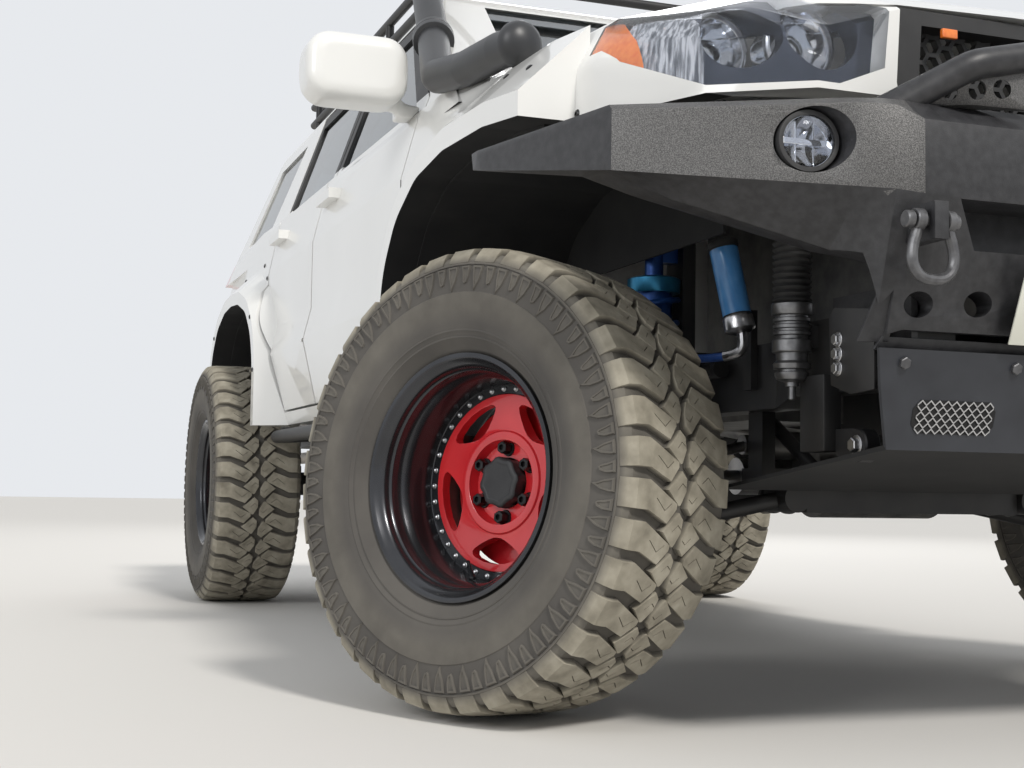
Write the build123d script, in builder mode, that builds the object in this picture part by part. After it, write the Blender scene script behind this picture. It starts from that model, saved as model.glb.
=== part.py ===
from build123d import *
import math
import os
from collections import namedtuple

# Lifted off-road 4x4, front wheels turned to the left as it stands. Millimetres, +Z up,
# front toward -Y, origin on the ground under the middle of the whole vehicle.

# Driving dimensions of the running gear
FRONT_AXLE_Y = -1452.0
WHEELBASE = 2790.0
REAR_TRACK = 1915.0
TYRE_RADIUS = 442.0
CENTRE_RADIUS = 174.0
CENTRE_FACE = 12.0
CAP_RADIUS = 50.0
BRAKE_RADIUS = 165.0
WINDOW_COUNT = 5
WINDOW_OUTER = 158.0
WINDOW_INNER = 108.0
WINDOW_HALF_ANGLE = 23.0
NUT_COUNT = 6
NUT_CIRCLE = 70.0
NUT_RADIUS = 12.0
PITCH_COUNT = 38
SEAT_GAP = 0.3
RUNNING_GAP = 1.0

# Steering: kingpins, the angle in which the wheels stand, and the linkage
KINGPIN_X = 758.0
KINGPIN_Y = -25.0
SCRUB = 190.0
STEER_AT_REST = 28.0
RIGHT_CAMBER = 4.0
LEFT_CAMBER = 0.0
STEERING_ARM = 140.0
RACK_Y = -85.0
RACK_Z = 535.0
TIE_ROD_EYE_Z = 470.0
TIE_ROD_RADIUS = 11.0
UPPER_JOINT_Z = 640.0
LOWER_JOINT_Z = 345.0
BALL_RADIUS = 24.0

# Body: walls, gaps and levels
WALL = 50.0
PANEL_GAP = 7.0
GLASS_INSET = 8.0
GLASS_THICKNESS = 5.0
SILL_Z = 640.0
RIDGE_Z = 885.0
WAIST_Z = 985.0
SIDE_TOP_Z = 1190.0
FLOOR_Z = 760.0
FLOOR_THICKNESS = 30.0
ARCH_INNER_X = 560.0
REAR_ARCH_INNER_X = 775.0
FLARE_FOOT_X = 870.0
FLARE_X = 1008.0
FLARE_WIDTH = 180.0
FLARE_SLOPE = 44.0

# Frame
RAIL_HEIGHT = 130.0
RAIL_WIDTH = 75.0
RAIL_Z = 590.0


def at(station):
    """Y of a station that is measured rearward from the front axle line."""
    return FRONT_AXLE_Y + station


def radial(radius, angle):
    """Point of a flat sketch at a radius and an angle in degrees."""
    return radius * math.cos(math.radians(angle)), radius * math.sin(math.radians(angle))


def side_prism(points, x_from, x_to):
    """Straight-sided outline of (station, height), extruded across the vehicle."""
    with BuildPart() as prism:
        with BuildSketch(Plane.YZ.offset(x_from)):
            Polygon(*[(at(station), height) for station, height in points], align=None)
        extrude(amount=x_to - x_from)
    return prism.part


def front_prism(points, front, rear):
    """Outline of (x, height), extruded rearward from one station to another."""
    with BuildPart() as prism:
        with BuildSketch(Plane.XZ.offset(-at(rear))):
            Polygon(*points, align=None)
        extrude(amount=rear - front)
    return prism.part


def plan_prism(points, bottom, top):
    """Outline of (x, station), extruded upward."""
    with BuildPart() as prism:
        with BuildSketch(Plane.XY.offset(bottom)):
            Polygon(*[(x, at(station)) for x, station in points], align=None)
        extrude(amount=top - bottom)
    return prism.part


def mirrored(points):
    """Half outline from the top centre to the bottom centre, closed on the other side."""
    return points + [(-x, z) for x, z in reversed(points) if x > 0]


def box_between(low, high):
    """Box from its lowest to its highest corner; Y values are stations."""
    size = [b - a for a, b in zip(low, high)]
    centre = [(a + b) / 2 for a, b in zip(low, high)]
    with BuildPart() as block:
        with Locations((centre[0], at(centre[1]), centre[2])):
            Box(*size)
    return block.part


def rod_between(start, end, radius):
    """Round bar from point to point; Y values are stations."""
    first = Vector(start[0], at(start[1]), start[2])
    last = Vector(end[0], at(end[1]), end[2])
    with BuildPart() as rod:
        with BuildSketch(Plane(origin=first, z_dir=last - first)):
            Circle(radius)
        extrude(amount=(last - first).length)
    return rod.part


def bent_tube(points, radius, bend):
    """Round tube along straight runs joined by bends; Y values are stations."""
    corners = [(x, at(station), z) for x, station, z in points]
    with BuildPart() as tube:
        with BuildLine() as path:
            FilletPolyline(*corners, radius=bend)
        with BuildSketch(Plane(origin=path.line @ 0, z_dir=path.line % 0)):
            Circle(radius)
        sweep()
    return tube.part


def joined(*pieces):
    """All the pieces in one part."""
    with BuildPart() as whole:
        add(pieces)
    return whole.part


def both_sides(piece):
    """The piece and its mirror image on the other side of the vehicle."""
    with BuildPart() as pair:
        add(piece)
        mirror(about=Plane.YZ)
    return pair.part


def common(first, *others):
    """What the first piece shares with each of the others."""
    with BuildPart() as shared:
        add(first)
        for other in others:
            add(other, mode=Mode.INTERSECT)
    return shared.part


def without(first, *others):
    """The first piece less each of the others."""
    with BuildPart() as rest:
        add(first)
        add(others, mode=Mode.SUBTRACT)
    return rest.part


def write(piece, name):
    """Label the piece and write it as its own file."""
    piece.label = name
    export_step(piece, f"parts/{name}.step")


os.makedirs("parts", exist_ok=True)

# The body is lofted through a few sections across it. Columns: station, half width at the
# sill, at the ridge, at the side, at the shoulder, height of the shoulder, half width of
# the crown, height of the crown's edge and of its middle.
BodySection = namedtuple(
    "BodySection",
    "station sill ridge side shoulder shoulder_z crown crown_edge_z crown_z",
)
BODY_SECTIONS = [
    BodySection(-800, 600, 640, 640, 620, 1190, 470, 1238, 1258),
    BodySection(-700, 760, 790, 790, 765, 1225, 590, 1285, 1305),
    BodySection(-480, 860, 895, 890, 850, 1268, 650, 1330, 1352),
    BodySection(0, 905, 935, 930, 868, 1305, 690, 1372, 1395),
    BodySection(430, 905, 958, 938, 890, 1365, 730, 1398, 1425),
    BodySection(1650, 905, 962, 938, 893, 1385, 760, 1400, 1425),
    BodySection(2790, 905, 958, 935, 890, 1405, 760, 1420, 1430),
    BodySection(3500, 890, 930, 915, 870, 1412, 740, 1425, 1432),
    BodySection(3740, 830, 850, 845, 800, 1400, 700, 1415, 1420),
]

# Cab above the waist: (station, height) of its side, and half of its front outline
CAB_FOOT_Z = 1300.0
CAB_SIDE = [(275, CAB_FOOT_Z), (1150, 1862), (3270, 1832), (3640, CAB_FOOT_Z)]
CAB_ROUND = 220.0
CAB_HALF = [(0, 1888), (560, 1876), (715, 1832), (905, CAB_FOOT_Z), (0, CAB_FOOT_Z)]
ROOF_ROUND = 90.0


def body_section_points(row, inset):
    """Half outline of one section, moved in by the inset."""
    return [
        (0, row.crown_z - inset),
        (row.crown - inset / 2, row.crown_edge_z - inset),
        (row.shoulder - inset, row.shoulder_z - inset / 2),
        (row.side - inset, SIDE_TOP_Z - inset / 2),
        (row.side - inset, WAIST_Z),
        (row.ridge - inset, RIDGE_Z),
        (row.sill - inset, SILL_Z + inset),
        (0, SILL_Z + inset),
    ]


def lower_body(inset):
    """The body below the windows, with every face moved in by the inset."""
    last = len(BODY_SECTIONS) - 1
    with BuildPart() as lower:
        for number, row in enumerate(BODY_SECTIONS):
            shift = inset * ((number == 0) - (number == last))
            with BuildSketch(Plane.XZ.offset(-at(row.station + shift))):
                Polygon(*mirrored(body_section_points(row, inset)), align=None)
        loft(ruled=True)
    return lower.part


def lowered(top, foot, drop):
    """The foot of an edge, moved on along it until it is lower by the drop."""
    reach = (top[1] - foot[1] + drop) / (top[1] - foot[1])
    return (top[0] + (foot[0] - top[0]) * reach, foot[1] - drop)


def cab(inset):
    """The cab above the waist, with its roof, sides and sloping ends moved in, foot kept."""
    front_foot, front_top, rear_top, rear_foot = CAB_SIDE
    side = [lowered(front_top, front_foot, inset), front_top, rear_top, lowered(rear_top, rear_foot, inset)]
    foot = lowered(CAB_HALF[2], CAB_HALF[3], inset)
    half = [*CAB_HALF[:3], foot, (0, foot[1])]
    with BuildPart() as top:
        with BuildSketch(Plane.YZ.offset(-1000)) as side_view:
            Polygon(*[(at(station), height) for station, height in side])
            fillet(side_view.vertices().sort_by(Axis.Y)[-2:], CAB_ROUND)
            if inset:
                offset(amount=-inset, mode=Mode.REPLACE)
        extrude(amount=2000)
        with BuildSketch(Plane.XZ.offset(-at(4000))) as front_view:
            Polygon(*mirrored(half))
            fillet(front_view.vertices().filter_by_position(Axis.Y, 1820, 1840), ROOF_ROUND)
            if inset:
                offset(amount=-inset, mode=Mode.REPLACE)
        extrude(amount=5000, mode=Mode.INTERSECT)
    return top.part


def body_solid(inset):
    """The closed body from sill to roof, with every face moved in by the inset."""
    with BuildPart() as whole:
        add(lower_body(inset))
        add(cab(inset))
    return whole.part


# Outlines in the side view: (station, height)
BELT = 1392.0
FRONT_DOOR = [(623, 690), (1643, 690), (1648, 1100), (1650, BELT), (1668, 1783), (1212, 1783), (640, 1405)]
REAR_DOOR = [
    (1659, 690), (2143, 690), (2209, 900), (2396, 1130), (2437, BELT), (2452, 1783), (1688, 1783),
    (1661, BELT), (1659, 1100),
]
DOORWAY = [
    (620, 690), (2150, 690), (2215, 900), (2400, 1130), (2442, BELT), (2464, 1787), (1218, 1787), (640, 1405),
]
FRONT_WINDOW = [(745, 1402), (1602, 1412), (1618, 1740), (1228, 1740)]
REAR_WINDOW = [(1706, 1412), (2392, 1418), (2402, 1740), (1736, 1740)]
QUARTER_WINDOW = [(2790, 1426), (3320, 1428), (3190, 1735), (2690, 1740)]
ARCH_ROUND = 200.0
FRONT_ARCH = [
    (-620, 500), (-620, 1010), (-450, 1090), (-200, 1122), (60, 1132), (260, 1112), (420, 1045),
    (520, 940), (545, 840), (545, 500),
]
REAR_ARCH = [
    (2290, 500), (2295, 860), (2350, 970), (2470, 1060), (2640, 1105), (2800, 1115), (2960, 1105),
    (3130, 1055), (3250, 960), (3300, 840), (3300, 500),
]
# Outlines in the front view: (x, height) and in plan: (x, station)
WINDSCREEN = [(-690, 1442), (690, 1442), (590, 1795), (-590, 1795)]
REAR_SCREEN = [(-660, 1440), (660, 1440), (580, 1770), (-580, 1770)]
HEADLAMP = [(505, 1236), (515, 1131), (600, 1096), (790, 1098), (868, 1175), (905, 1258), (640, 1300)]
GRILLE = [(-470, 985), (470, 985), (492, 1110), (485, 1240), (-485, 1240), (-492, 1110)]
HOOD = [(-490, -900), (490, -900), (640, -690), (700, -100), (735, 418), (-735, 418), (-700, -100), (-640, -690)]
TAIL_LAMP = [(700, 1050), (1000, 1050), (1000, 1385), (760, 1385)]
TAILGATE = [(-690, 845), (690, 845), (690, 1390), (640, 1822), (-640, 1822), (-690, 1390)]

outer_body = body_solid(0)
inner_body = body_solid(WALL)
shell = without(outer_body, inner_body)


def grown(points, amount):
    """The outline with each edge moved out by the amount; an arch has its corners rounded first."""
    with BuildSketch() as flat:
        Polygon(*points)
        if points in (FRONT_ARCH, REAR_ARCH):
            fillet(flat.vertices().filter_by_position(Axis.Y, 700, 2000), ARCH_ROUND)
        offset(amount=amount, kind=Kind.INTERSECTION, mode=Mode.REPLACE)
    return flat.sketch


def side_cut(points, amount, x_from=500, x_to=1100):
    """Both sides of the vehicle inside a side outline that is moved out by the amount."""
    with BuildPart() as cut:
        with BuildSketch(Plane.YZ.offset(x_from)):
            with Locations((FRONT_AXLE_Y, 0)):
                add(grown(points, amount))
        extrude(amount=x_to - x_from)
        mirror(about=Plane.YZ)
    return cut.part


def one_side(points, amount, side):
    """Like side_cut, on the right side (-1) or the left side (+1) alone."""
    with BuildPart() as cut:
        with BuildSketch(Plane.YZ.offset(500 if side > 0 else -1100)):
            with Locations((FRONT_AXLE_Y, 0)):
                add(grown(points, amount))
        extrude(amount=600)
    return cut.part

# Window and door openings, and the panels that fill them
ARCH_DEPTH_X = 1100
GLASS_LAP = 0.3
glass_skin = without(body_solid(GLASS_INSET), body_solid(GLASS_INSET + GLASS_THICKNESS))


def pane(cut):
    """Glass that fills an opening, just clear of its edge."""
    return common(glass_skin, cut)


def flare(arch):
    """Bolt-on flare round an arch on both sides, sloping out from the body to its lip."""
    foot = arch[0][1]
    with BuildPart() as ring:
        with BuildSketch(Plane.YZ.offset(FLARE_FOOT_X)):
            with Locations((FRONT_AXLE_Y, 0)):
                add(grown(arch, FLARE_WIDTH))
        extrude(amount=FLARE_X - FLARE_FOOT_X, taper=FLARE_SLOPE)
        with BuildSketch(Plane.YZ.offset(FLARE_FOOT_X - 10)):
            with Locations((FRONT_AXLE_Y, 0)):
                add(grown(arch, 0))
        extrude(amount=FLARE_X, mode=Mode.SUBTRACT)
        mirror(about=Plane.YZ)
        add(inner_body, mode=Mode.SUBTRACT)
        add(box_between((-1100, -2000, foot - 300), (1100, 5000, SILL_Z)), mode=Mode.SUBTRACT)
    return ring.part


rear_flares = flare(REAR_ARCH)

SIDES = {"right": -1, "left": 1}

# Door hinges: a pin in the body's ridge, on an arm from the front or the centre pillar.
# Columns: station and half width of the pin, where its arm starts (station, half width), and
# how far the hinge line leans inward at the top, in degrees
HINGE_PIN_RADIUS = 3.0
PIN_CLEARANCE = 0.1
PIN_REACH = 17.0
LEAF_HEIGHT = 8.0
NOTCH_HEIGHT = 12.0
NOTCH_RADIUS = 13.0
DoorHinge = namedtuple("DoorHinge", "station x arm_station arm_x lean")
ARM_LENGTH = 4.0
DOOR_HINGES = {"front": DoorHinge(633, 950, 614, 944, 0), "rear": DoorHinge(1664, 953, 1652, 895, 3)}


def on_door_axis(hinge, side, above):
    """Point on a door's hinge axis, so far above the ridge."""
    return (side * (hinge.x - above * math.tan(math.radians(hinge.lean))), hinge.station, RIDGE_Z + above)


def door_rod(hinge, side, half_height, radius):
    """Round bar about a door's hinge axis, centred on the ridge."""
    return rod_between(on_door_axis(hinge, side, -half_height), on_door_axis(hinge, side, half_height), radius)


def door_pin(hinge):
    """Both sides' hinge pins with the arms that carry them."""
    low, high = RIDGE_Z - LEAF_HEIGHT / 2, RIDGE_Z + LEAF_HEIGHT / 2
    pin = door_rod(hinge, 1, PIN_REACH, HINGE_PIN_RADIUS)
    reach = box_between((hinge.arm_x, hinge.arm_station, low), (hinge.x + 3, hinge.arm_station + ARM_LENGTH, high))
    turn_in = box_between((hinge.x - 5, hinge.arm_station, low), (hinge.x + 3, hinge.station, high))
    return both_sides(joined(pin, reach, turn_in))


HANDLE_X = 922.0
for name, side in SIDES.items():
    for which, door_outline, window_outline in (
        ("front", FRONT_DOOR, FRONT_WINDOW),
        ("rear", REAR_DOOR, REAR_WINDOW),
    ):
        panel = common(shell, one_side(door_outline, 0, side))
        opening = one_side(window_outline, 0, side)
        handle_station = door_outline[1][0] - 150 if which == "front" else door_outline[3][0] - 125
        handle = box_between(
            (side * HANDLE_X - 25, handle_station - 90, 1288),
            (side * HANDLE_X + 25, handle_station + 90, 1318),
        )
        door = joined(without(panel, opening), without(handle, inner_body))
        if which == "rear":
            door = joined(door, common(rear_flares, one_side(door_outline, 0, side)))
        hinge = DOOR_HINGES[which]
        door = without(
            door,
            door_rod(hinge, side, PIN_REACH + 1, HINGE_PIN_RADIUS + PIN_CLEARANCE),
            door_rod(hinge, side, NOTCH_HEIGHT / 2, NOTCH_RADIUS),
        )
        write(door, f"door_{which}_{name}")
        write(pane(one_side(window_outline, -GLASS_LAP, side)), f"door_glass_{which}_{name}")

# Door mirrors: an arm on the corner of the front door and a rounded housing
MIRROR_STATION = 660.0
MIRROR_X = 1054.0
MIRROR_Z = 1455.0
for name, side in SIDES.items():
    with BuildPart() as mirror_part:
        with BuildSketch(Plane.XZ.offset(-at(MIRROR_STATION - 60))):
            with Locations((side * MIRROR_X, MIRROR_Z)):
                RectangleRounded(256, 172, 60)
        extrude(amount=-120)
        fillet(mirror_part.edges().filter_by(GeomType.LINE, reverse=True).group_by(Axis.Y)[0], 35)
        add(box_between((min(side * 850, side * 930), 690, 1362), (max(side * 850, side * 930), 765, 1397)))
    arm = rod_between((side * 905, 725, 1382), (side * 985, 665, 1400), 20)
    housing = joined(mirror_part.part, arm)
    write(without(housing, outer_body), f"mirror_{name}")

HOOD_LOW_Z = 1247.0

# Hood and tailgate hinges: goosenecks that rise from below into a slot in the panel's edge.
# Columns: half distance apart, station and height of the pin, how far down the neck goes,
# station where it turns up again to what carries it, and the height that it reaches there
LidHinge = namedtuple("LidHinge", "x station z foot_z carrier_station carrier_z")
HOOD_HINGE = LidHinge(80, 405, 1412, 1350, 436, 1385)
GATE_HINGE = LidHinge(350, 3236, 1809, 1745, 3196, 1792)
NECK_HALF = 5.0
NECK_RADIUS = 4.0
SLOT_HALF = 7.0
LID_PIN_HALF = 20.0


def lid_necks(hinge):
    """Both goosenecks of a lid, with their pins."""
    first, last = sorted((hinge.station, hinge.carrier_station))
    low, high = hinge.x - NECK_HALF, hinge.x + NECK_HALF
    return both_sides(joined(
        rod_between((hinge.x - LID_PIN_HALF, hinge.station, hinge.z),
                    (hinge.x + LID_PIN_HALF, hinge.station, hinge.z), HINGE_PIN_RADIUS),
        rod_between((low, hinge.station, hinge.z), (high, hinge.station, hinge.z), NECK_RADIUS),
        box_between((low, hinge.station - NECK_RADIUS, hinge.foot_z),
                    (high, hinge.station + NECK_RADIUS, hinge.z)),
        box_between((low, first - NECK_RADIUS, hinge.foot_z), (high, last + NECK_RADIUS, hinge.foot_z + 12)),
        box_between((low, hinge.carrier_station - NECK_RADIUS, hinge.foot_z),
                    (high, hinge.carrier_station + NECK_RADIUS, hinge.carrier_z)),
    ))


def lid_slots(hinge, front, rear):
    """What a lid leaves free for its goosenecks and pins."""
    return both_sides(joined(
        rod_between((hinge.x - LID_PIN_HALF - 1, hinge.station, hinge.z),
                    (hinge.x + LID_PIN_HALF + 1, hinge.station, hinge.z), HINGE_PIN_RADIUS + PIN_CLEARANCE),
        box_between((hinge.x - SLOT_HALF, hinge.station - front, hinge.foot_z - 40),
                    (hinge.x + SLOT_HALF, hinge.station + rear, hinge.z + 4.5)),
    ))


hood_cut = plan_prism(HOOD, HOOD_LOW_Z, 1500)
hood = without(common(shell, hood_cut), lid_slots(HOOD_HINGE, 9, 30))
write(hood, "hood")

lamp_skin = without(outer_body, body_solid(WALL + 20))
headlamp_right = common(lamp_skin, front_prism([(-x, z) for x, z in HEADLAMP], -900, -430))
TAIL_LAMP_FRONT = 3560.0
tail_lamp_left = common(lamp_skin, front_prism(TAIL_LAMP, TAIL_LAMP_FRONT, 3800))

GATE_START = 3230.0
GATE_GAP = 13.0
gate_cut = front_prism(TAILGATE, GATE_START, 3800)
rear_screen_cut = front_prism(REAR_SCREEN, 3200, 3700)
tailgate = without(common(shell, gate_cut), rear_screen_cut, lid_slots(GATE_HINGE, 30, 4.5))
write(tailgate, "tailgate")
write(pane(front_prism(REAR_SCREEN, 3200, 3700)), "tailgate_glass")

windscreen = pane(front_prism(WINDSCREEN, 300, 1300))
quarter_glass = pane(side_cut(QUARTER_WINDOW, -GLASS_LAP))
write(joined(windscreen, quarter_glass), "fixed_glass")


front_arch_cut = side_cut(FRONT_ARCH, 0, ARCH_INNER_X, ARCH_DEPTH_X)
rear_arch_cut = side_cut(REAR_ARCH, 0, REAR_ARCH_INNER_X, ARCH_DEPTH_X)
grille_cut = front_prism(GRILLE, -900, -600)

FENDER_END = 613.0
COWL_END = 424.0
COWL_GAP = 10.0
front_region = side_prism(
    [(-900, 500), (FENDER_END, 500), (FENDER_END, 1340), (COWL_END, 1500), (-900, 1500)], -1100, 1100
)
hood_space = plan_prism(
    [(x + math.copysign(PANEL_GAP, x), station + COWL_GAP * (station > 400)) for x, station in HOOD],
    HOOD_LOW_Z - PANEL_GAP,
    1500,
)
front_flares = without(flare(FRONT_ARCH), box_between((-1100, -1000, 500), (1100, -400, 1400)))
headlamp_space = common(outer_body, both_sides(front_prism([(-x, z) for x, z in HEADLAMP], -900, -430)))
front_fenders = without(
    joined(common(shell, front_region), common(front_flares, front_region)),
    hood_space,
    front_arch_cut,
    headlamp_space,
    grille_cut,
    box_between((-750, -900, 500), (750, FENDER_END + 1, 950)),
    box_between((-1100, -900, 500), (1100, -330, 1085)),
)
front_fenders = joined(front_fenders, lid_necks(HOOD_HINGE))
write(front_fenders, "front_fenders")

# The rest of the body: roof, pillars, rockers, quarters, cowl and floor
PILLAR_DEPTH = 40.0
PILLAR = [
    (1575, 645), (1725, 645), (1725, 1100), (1722, BELT), (1752, 1850), (1612, 1850), (1585, BELT),
    (1575, 1100),
]
door_spaces = side_cut(DOORWAY, PANEL_GAP)
pillars = without(
    common(without(body_solid(WALL - 8), body_solid(WALL + PILLAR_DEPTH)), side_cut(PILLAR, 0)),
    common(without(outer_body, body_solid(WALL + 6)), door_spaces),
    box_between((-790, 1500, 600), (790, 1800, FLOOR_Z - 5)),
)
tail_lamps = both_sides(tail_lamp_left)
gate_space = front_prism(
    [(x + math.copysign(PANEL_GAP, x), z + math.copysign(PANEL_GAP, z - 1000)) for x, z in TAILGATE],
    GATE_START - GATE_GAP,
    3800,
)
sheet_metal = without(
    joined(shell, rear_flares),
    front_region,
    door_spaces,
    gate_space,
    common(outer_body, both_sides(front_prism(TAIL_LAMP, TAIL_LAMP_FRONT, 3800))),
    front_prism(WINDSCREEN, 300, 1300),
    side_cut(QUARTER_WINDOW, 0),
    rear_arch_cut,
    box_between((-800, -900, 500), (800, 4000, FLOOR_Z - 5)),
    box_between((-1100, 3550, 500), (1100, 4000, 837)),
)
floor_pan = without(
    joined(
        box_between((-870, 545, FLOOR_Z), (870, 3548, FLOOR_Z + FLOOR_THICKNESS)),
        box_between((-785, 3500, FLOOR_Z), (785, 3680, FLOOR_Z + FLOOR_THICKNESS)),
    ),
    rear_arch_cut,
)
firewall = box_between((-840, 546, FLOOR_Z), (840, 576, 1335))
inner_rockers = both_sides(box_between((800, FENDER_END, 645), (830, 2285, FLOOR_Z + 5)))
tail_panel = box_between((-785, 3650, 735), (785, 3680, 900))
body_shell = joined(
    sheet_metal, pillars, floor_pan, firewall, inner_rockers, tail_panel,
    *[door_pin(hinge) for hinge in DOOR_HINGES.values()], lid_necks(GATE_HINGE),
)
write(body_shell, "body_shell")
print("body shell solids", len(body_shell.solids()))


def liner(arch, inner_x):
    """Thin lining that follows the inside of an arch, on both sides."""
    with BuildPart() as lining:
        with BuildSketch(Plane.YZ.offset(inner_x)):
            with Locations((FRONT_AXLE_Y, 0)):
                add(grown(arch, -GLASS_LAP))
                add(grown(arch, -5), mode=Mode.SUBTRACT)
        extrude(amount=930 - inner_x)
        mirror(about=Plane.YZ)
        add(box_between((-1100, -1000, 400), (1100, 5000, FLOOR_Z - 60)), mode=Mode.SUBTRACT)
    return lining.part


rear_liner = joined(
    liner(REAR_ARCH, REAR_ARCH_INNER_X),
    both_sides(common(
        box_between((REAR_ARCH_INNER_X, 2200, FLOOR_Z - 60), (REAR_ARCH_INNER_X + 5, 3400, 1200)),
        side_cut(REAR_ARCH, -GLASS_LAP),
    )),
)
front_liner = without(
    liner(FRONT_ARCH, ARCH_INNER_X), box_between((-1100, -1000, 400), (1100, -330, 1400))
)
apron = both_sides(box_between((ARCH_INNER_X - 6, -330, 930), (ARCH_INNER_X, 545, 1190)))
write(joined(rear_liner, front_liner, apron), "wheel_liners")

# Grille, lamps and tail
headlamps = both_sides(without(headlamp_right, hood_space))
GRILLE_FACE = -790.0
GRILLE_CELL = 13.0
GRILLE_PITCH = 15.0
GRILLE_MIDDLE = 1112.0
with BuildPart() as cells:
    with BuildSketch(Plane.XZ.offset(-at(GRILLE_FACE + 60))):
        with Locations((0, GRILLE_MIDDLE)):
            with HexLocations(GRILLE_PITCH, 35, 9):
                RegularPolygon(GRILLE_CELL, 6)
    extrude(amount=40)
grille_opening = [(x * 0.9, GRILLE_MIDDLE + (z - GRILLE_MIDDLE) * 0.8) for x, z in GRILLE]
grille_frame = without(
    front_prism([(x - math.copysign(SEAT_GAP, x), z) for x, z in GRILLE], GRILLE_FACE, GRILLE_FACE + 50),
    front_prism(grille_opening, GRILLE_FACE - 5, GRILLE_FACE + 35),
    common(cells.part, front_prism([(x * 0.98, z) for x, z in grille_opening], GRILLE_FACE, GRILLE_FACE + 70)),
)
write(grille_frame, "grille")

# Wheels and tyres, modelled about their own axis with the outer face toward +Z
# Half a tyre as rings of corners, one to each pitch of the tread: radius, level along the
# axis and turn in pitches. The tread blocks stand between the first two rings.
Ring = namedtuple("Ring", "radius level turn")
TYRE_RINGS = [
    Ring(428, 4, 0.36), Ring(414, 150, 0.58), Ring(335, 159, 0.58), Ring(219.1, 112, 0.58), Ring(219.1, 98, 0.58),
]
CAVITY_RING = Ring(402, 134, 0.58)
BLOCK_ENDS = (Ring(TYRE_RADIUS, 4, 0.36), Ring(440, 115, 0.58))
BLOCK_EDGE = 0.14
HALF_TURN = 1.22
RIM_SECTION = [
    (236, 132), (236, 122), (218, 118), (218, 98), (215, 92), (215, 72), (206, 54), (206, -14), (214, -24),
    (214, -92), (218, -98), (218, -118), (236, -122), (236, -132), (227, -132), (209, -112), (205, -100),
    (205, -32), (196, -14),
    (CENTRE_RADIUS, -14), (CENTRE_RADIUS, 0), (194, 0), (197, 10), (197, 56), (206, 76), (206, 100), (210, 119),
    (227, 132),
]
HUB_BORE = 40.0
CENTRE_SECTION = [
    (HUB_BORE, -75), (BRAKE_RADIUS, -75), (BRAKE_RADIUS, -52), (98, -52), (98, -34), (140, -22),
    (CENTRE_RADIUS - SEAT_GAP, -14), (CENTRE_RADIUS - SEAT_GAP, 2), (160, 3), (104, 0), (98, 5), (84, 5),
    (78, -16), (CAP_RADIUS, -16), (CAP_RADIUS, CENTRE_FACE), (0, CENTRE_FACE), (0, -12), (HUB_BORE, -12),
]



def corner(ring, place, half):
    """Corner of a ring at a place counted in pitches; the other half is the same, turned over."""
    turn = ring.turn + place if half > 0 else HALF_TURN - ring.turn - place
    return Vector(*radial(ring.radius, turn * 360 / PITCH_COUNT), half * ring.level)


def facets(*corners):
    """Triangles between the corners of a face that may be slightly twisted."""
    return [Face(Wire.make_polygon([corners[0], *pair])) for pair in zip(corners[1:], corners[2:])]


block_corners = [
    corner(ring, place + edge, half)
    for half in (1, -1) for place in range(PITCH_COUNT) for edge in (BLOCK_EDGE, 1 - BLOCK_EDGE)
    for ring in BLOCK_ENDS
]
tyre_faces = []
for half in (1, -1):
    inner, outer = BLOCK_ENDS
    for place in range(PITCH_COUNT):
        foot = [corner(ring, place + side, half) for ring in TYRE_RINGS[:2] for side in (0, 1)]
        top = [corner(ring, place + edge, half) for ring in BLOCK_ENDS for edge in (BLOCK_EDGE, 1 - BLOCK_EDGE)]
        tyre_faces += facets(foot[0], foot[1], top[1], top[0]) + facets(top[0], top[1], top[3], top[2])
        tyre_faces += facets(foot[2], foot[3], top[3], top[2])
        tyre_faces += facets(foot[0], top[0], top[2], foot[2]) + facets(foot[1], top[1], top[3], foot[3])
        for ring, following in zip(TYRE_RINGS[1:], TYRE_RINGS[2:]):
            tyre_faces += facets(
                corner(ring, place, half), corner(ring, place + 1, half),
                corner(following, place + 1, half), corner(following, place, half),
            )
        if place % 2 == 0:
            bead = [corner(TYRE_RINGS[-1], place + side, half) for side in (0, 1, 2)]
            cavity = [corner(CAVITY_RING, place + side, half) for side in (0, 2)]
            tyre_faces += facets(cavity[0], bead[0], bead[1], cavity[1]) + facets(bead[1], bead[2], cavity[1])
for place in range(PITCH_COUNT):
    middle = [corner(TYRE_RINGS[0], place + side, 1) for side in (0, 1)]
    across = [corner(TYRE_RINGS[0], -place + side, -1) for side in (1, 0)]
    tyre_faces += facets(middle[0], middle[1], across[1], across[0])
for place in range(0, PITCH_COUNT, 2):
    under = [corner(CAVITY_RING, place + side, 1) for side in (0, 2)]
    across = [corner(CAVITY_RING, -place + side, -1) for side in (0, -2)]
    tyre_faces += facets(under[0], under[1], across[1], across[0])
with BuildPart() as tyre:
    add(Solid(Shell(tyre_faces)))

with BuildPart() as rim:
    with BuildSketch(Plane.XZ):
        Polygon(*RIM_SECTION)
    revolve(axis=Axis.Z)

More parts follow.
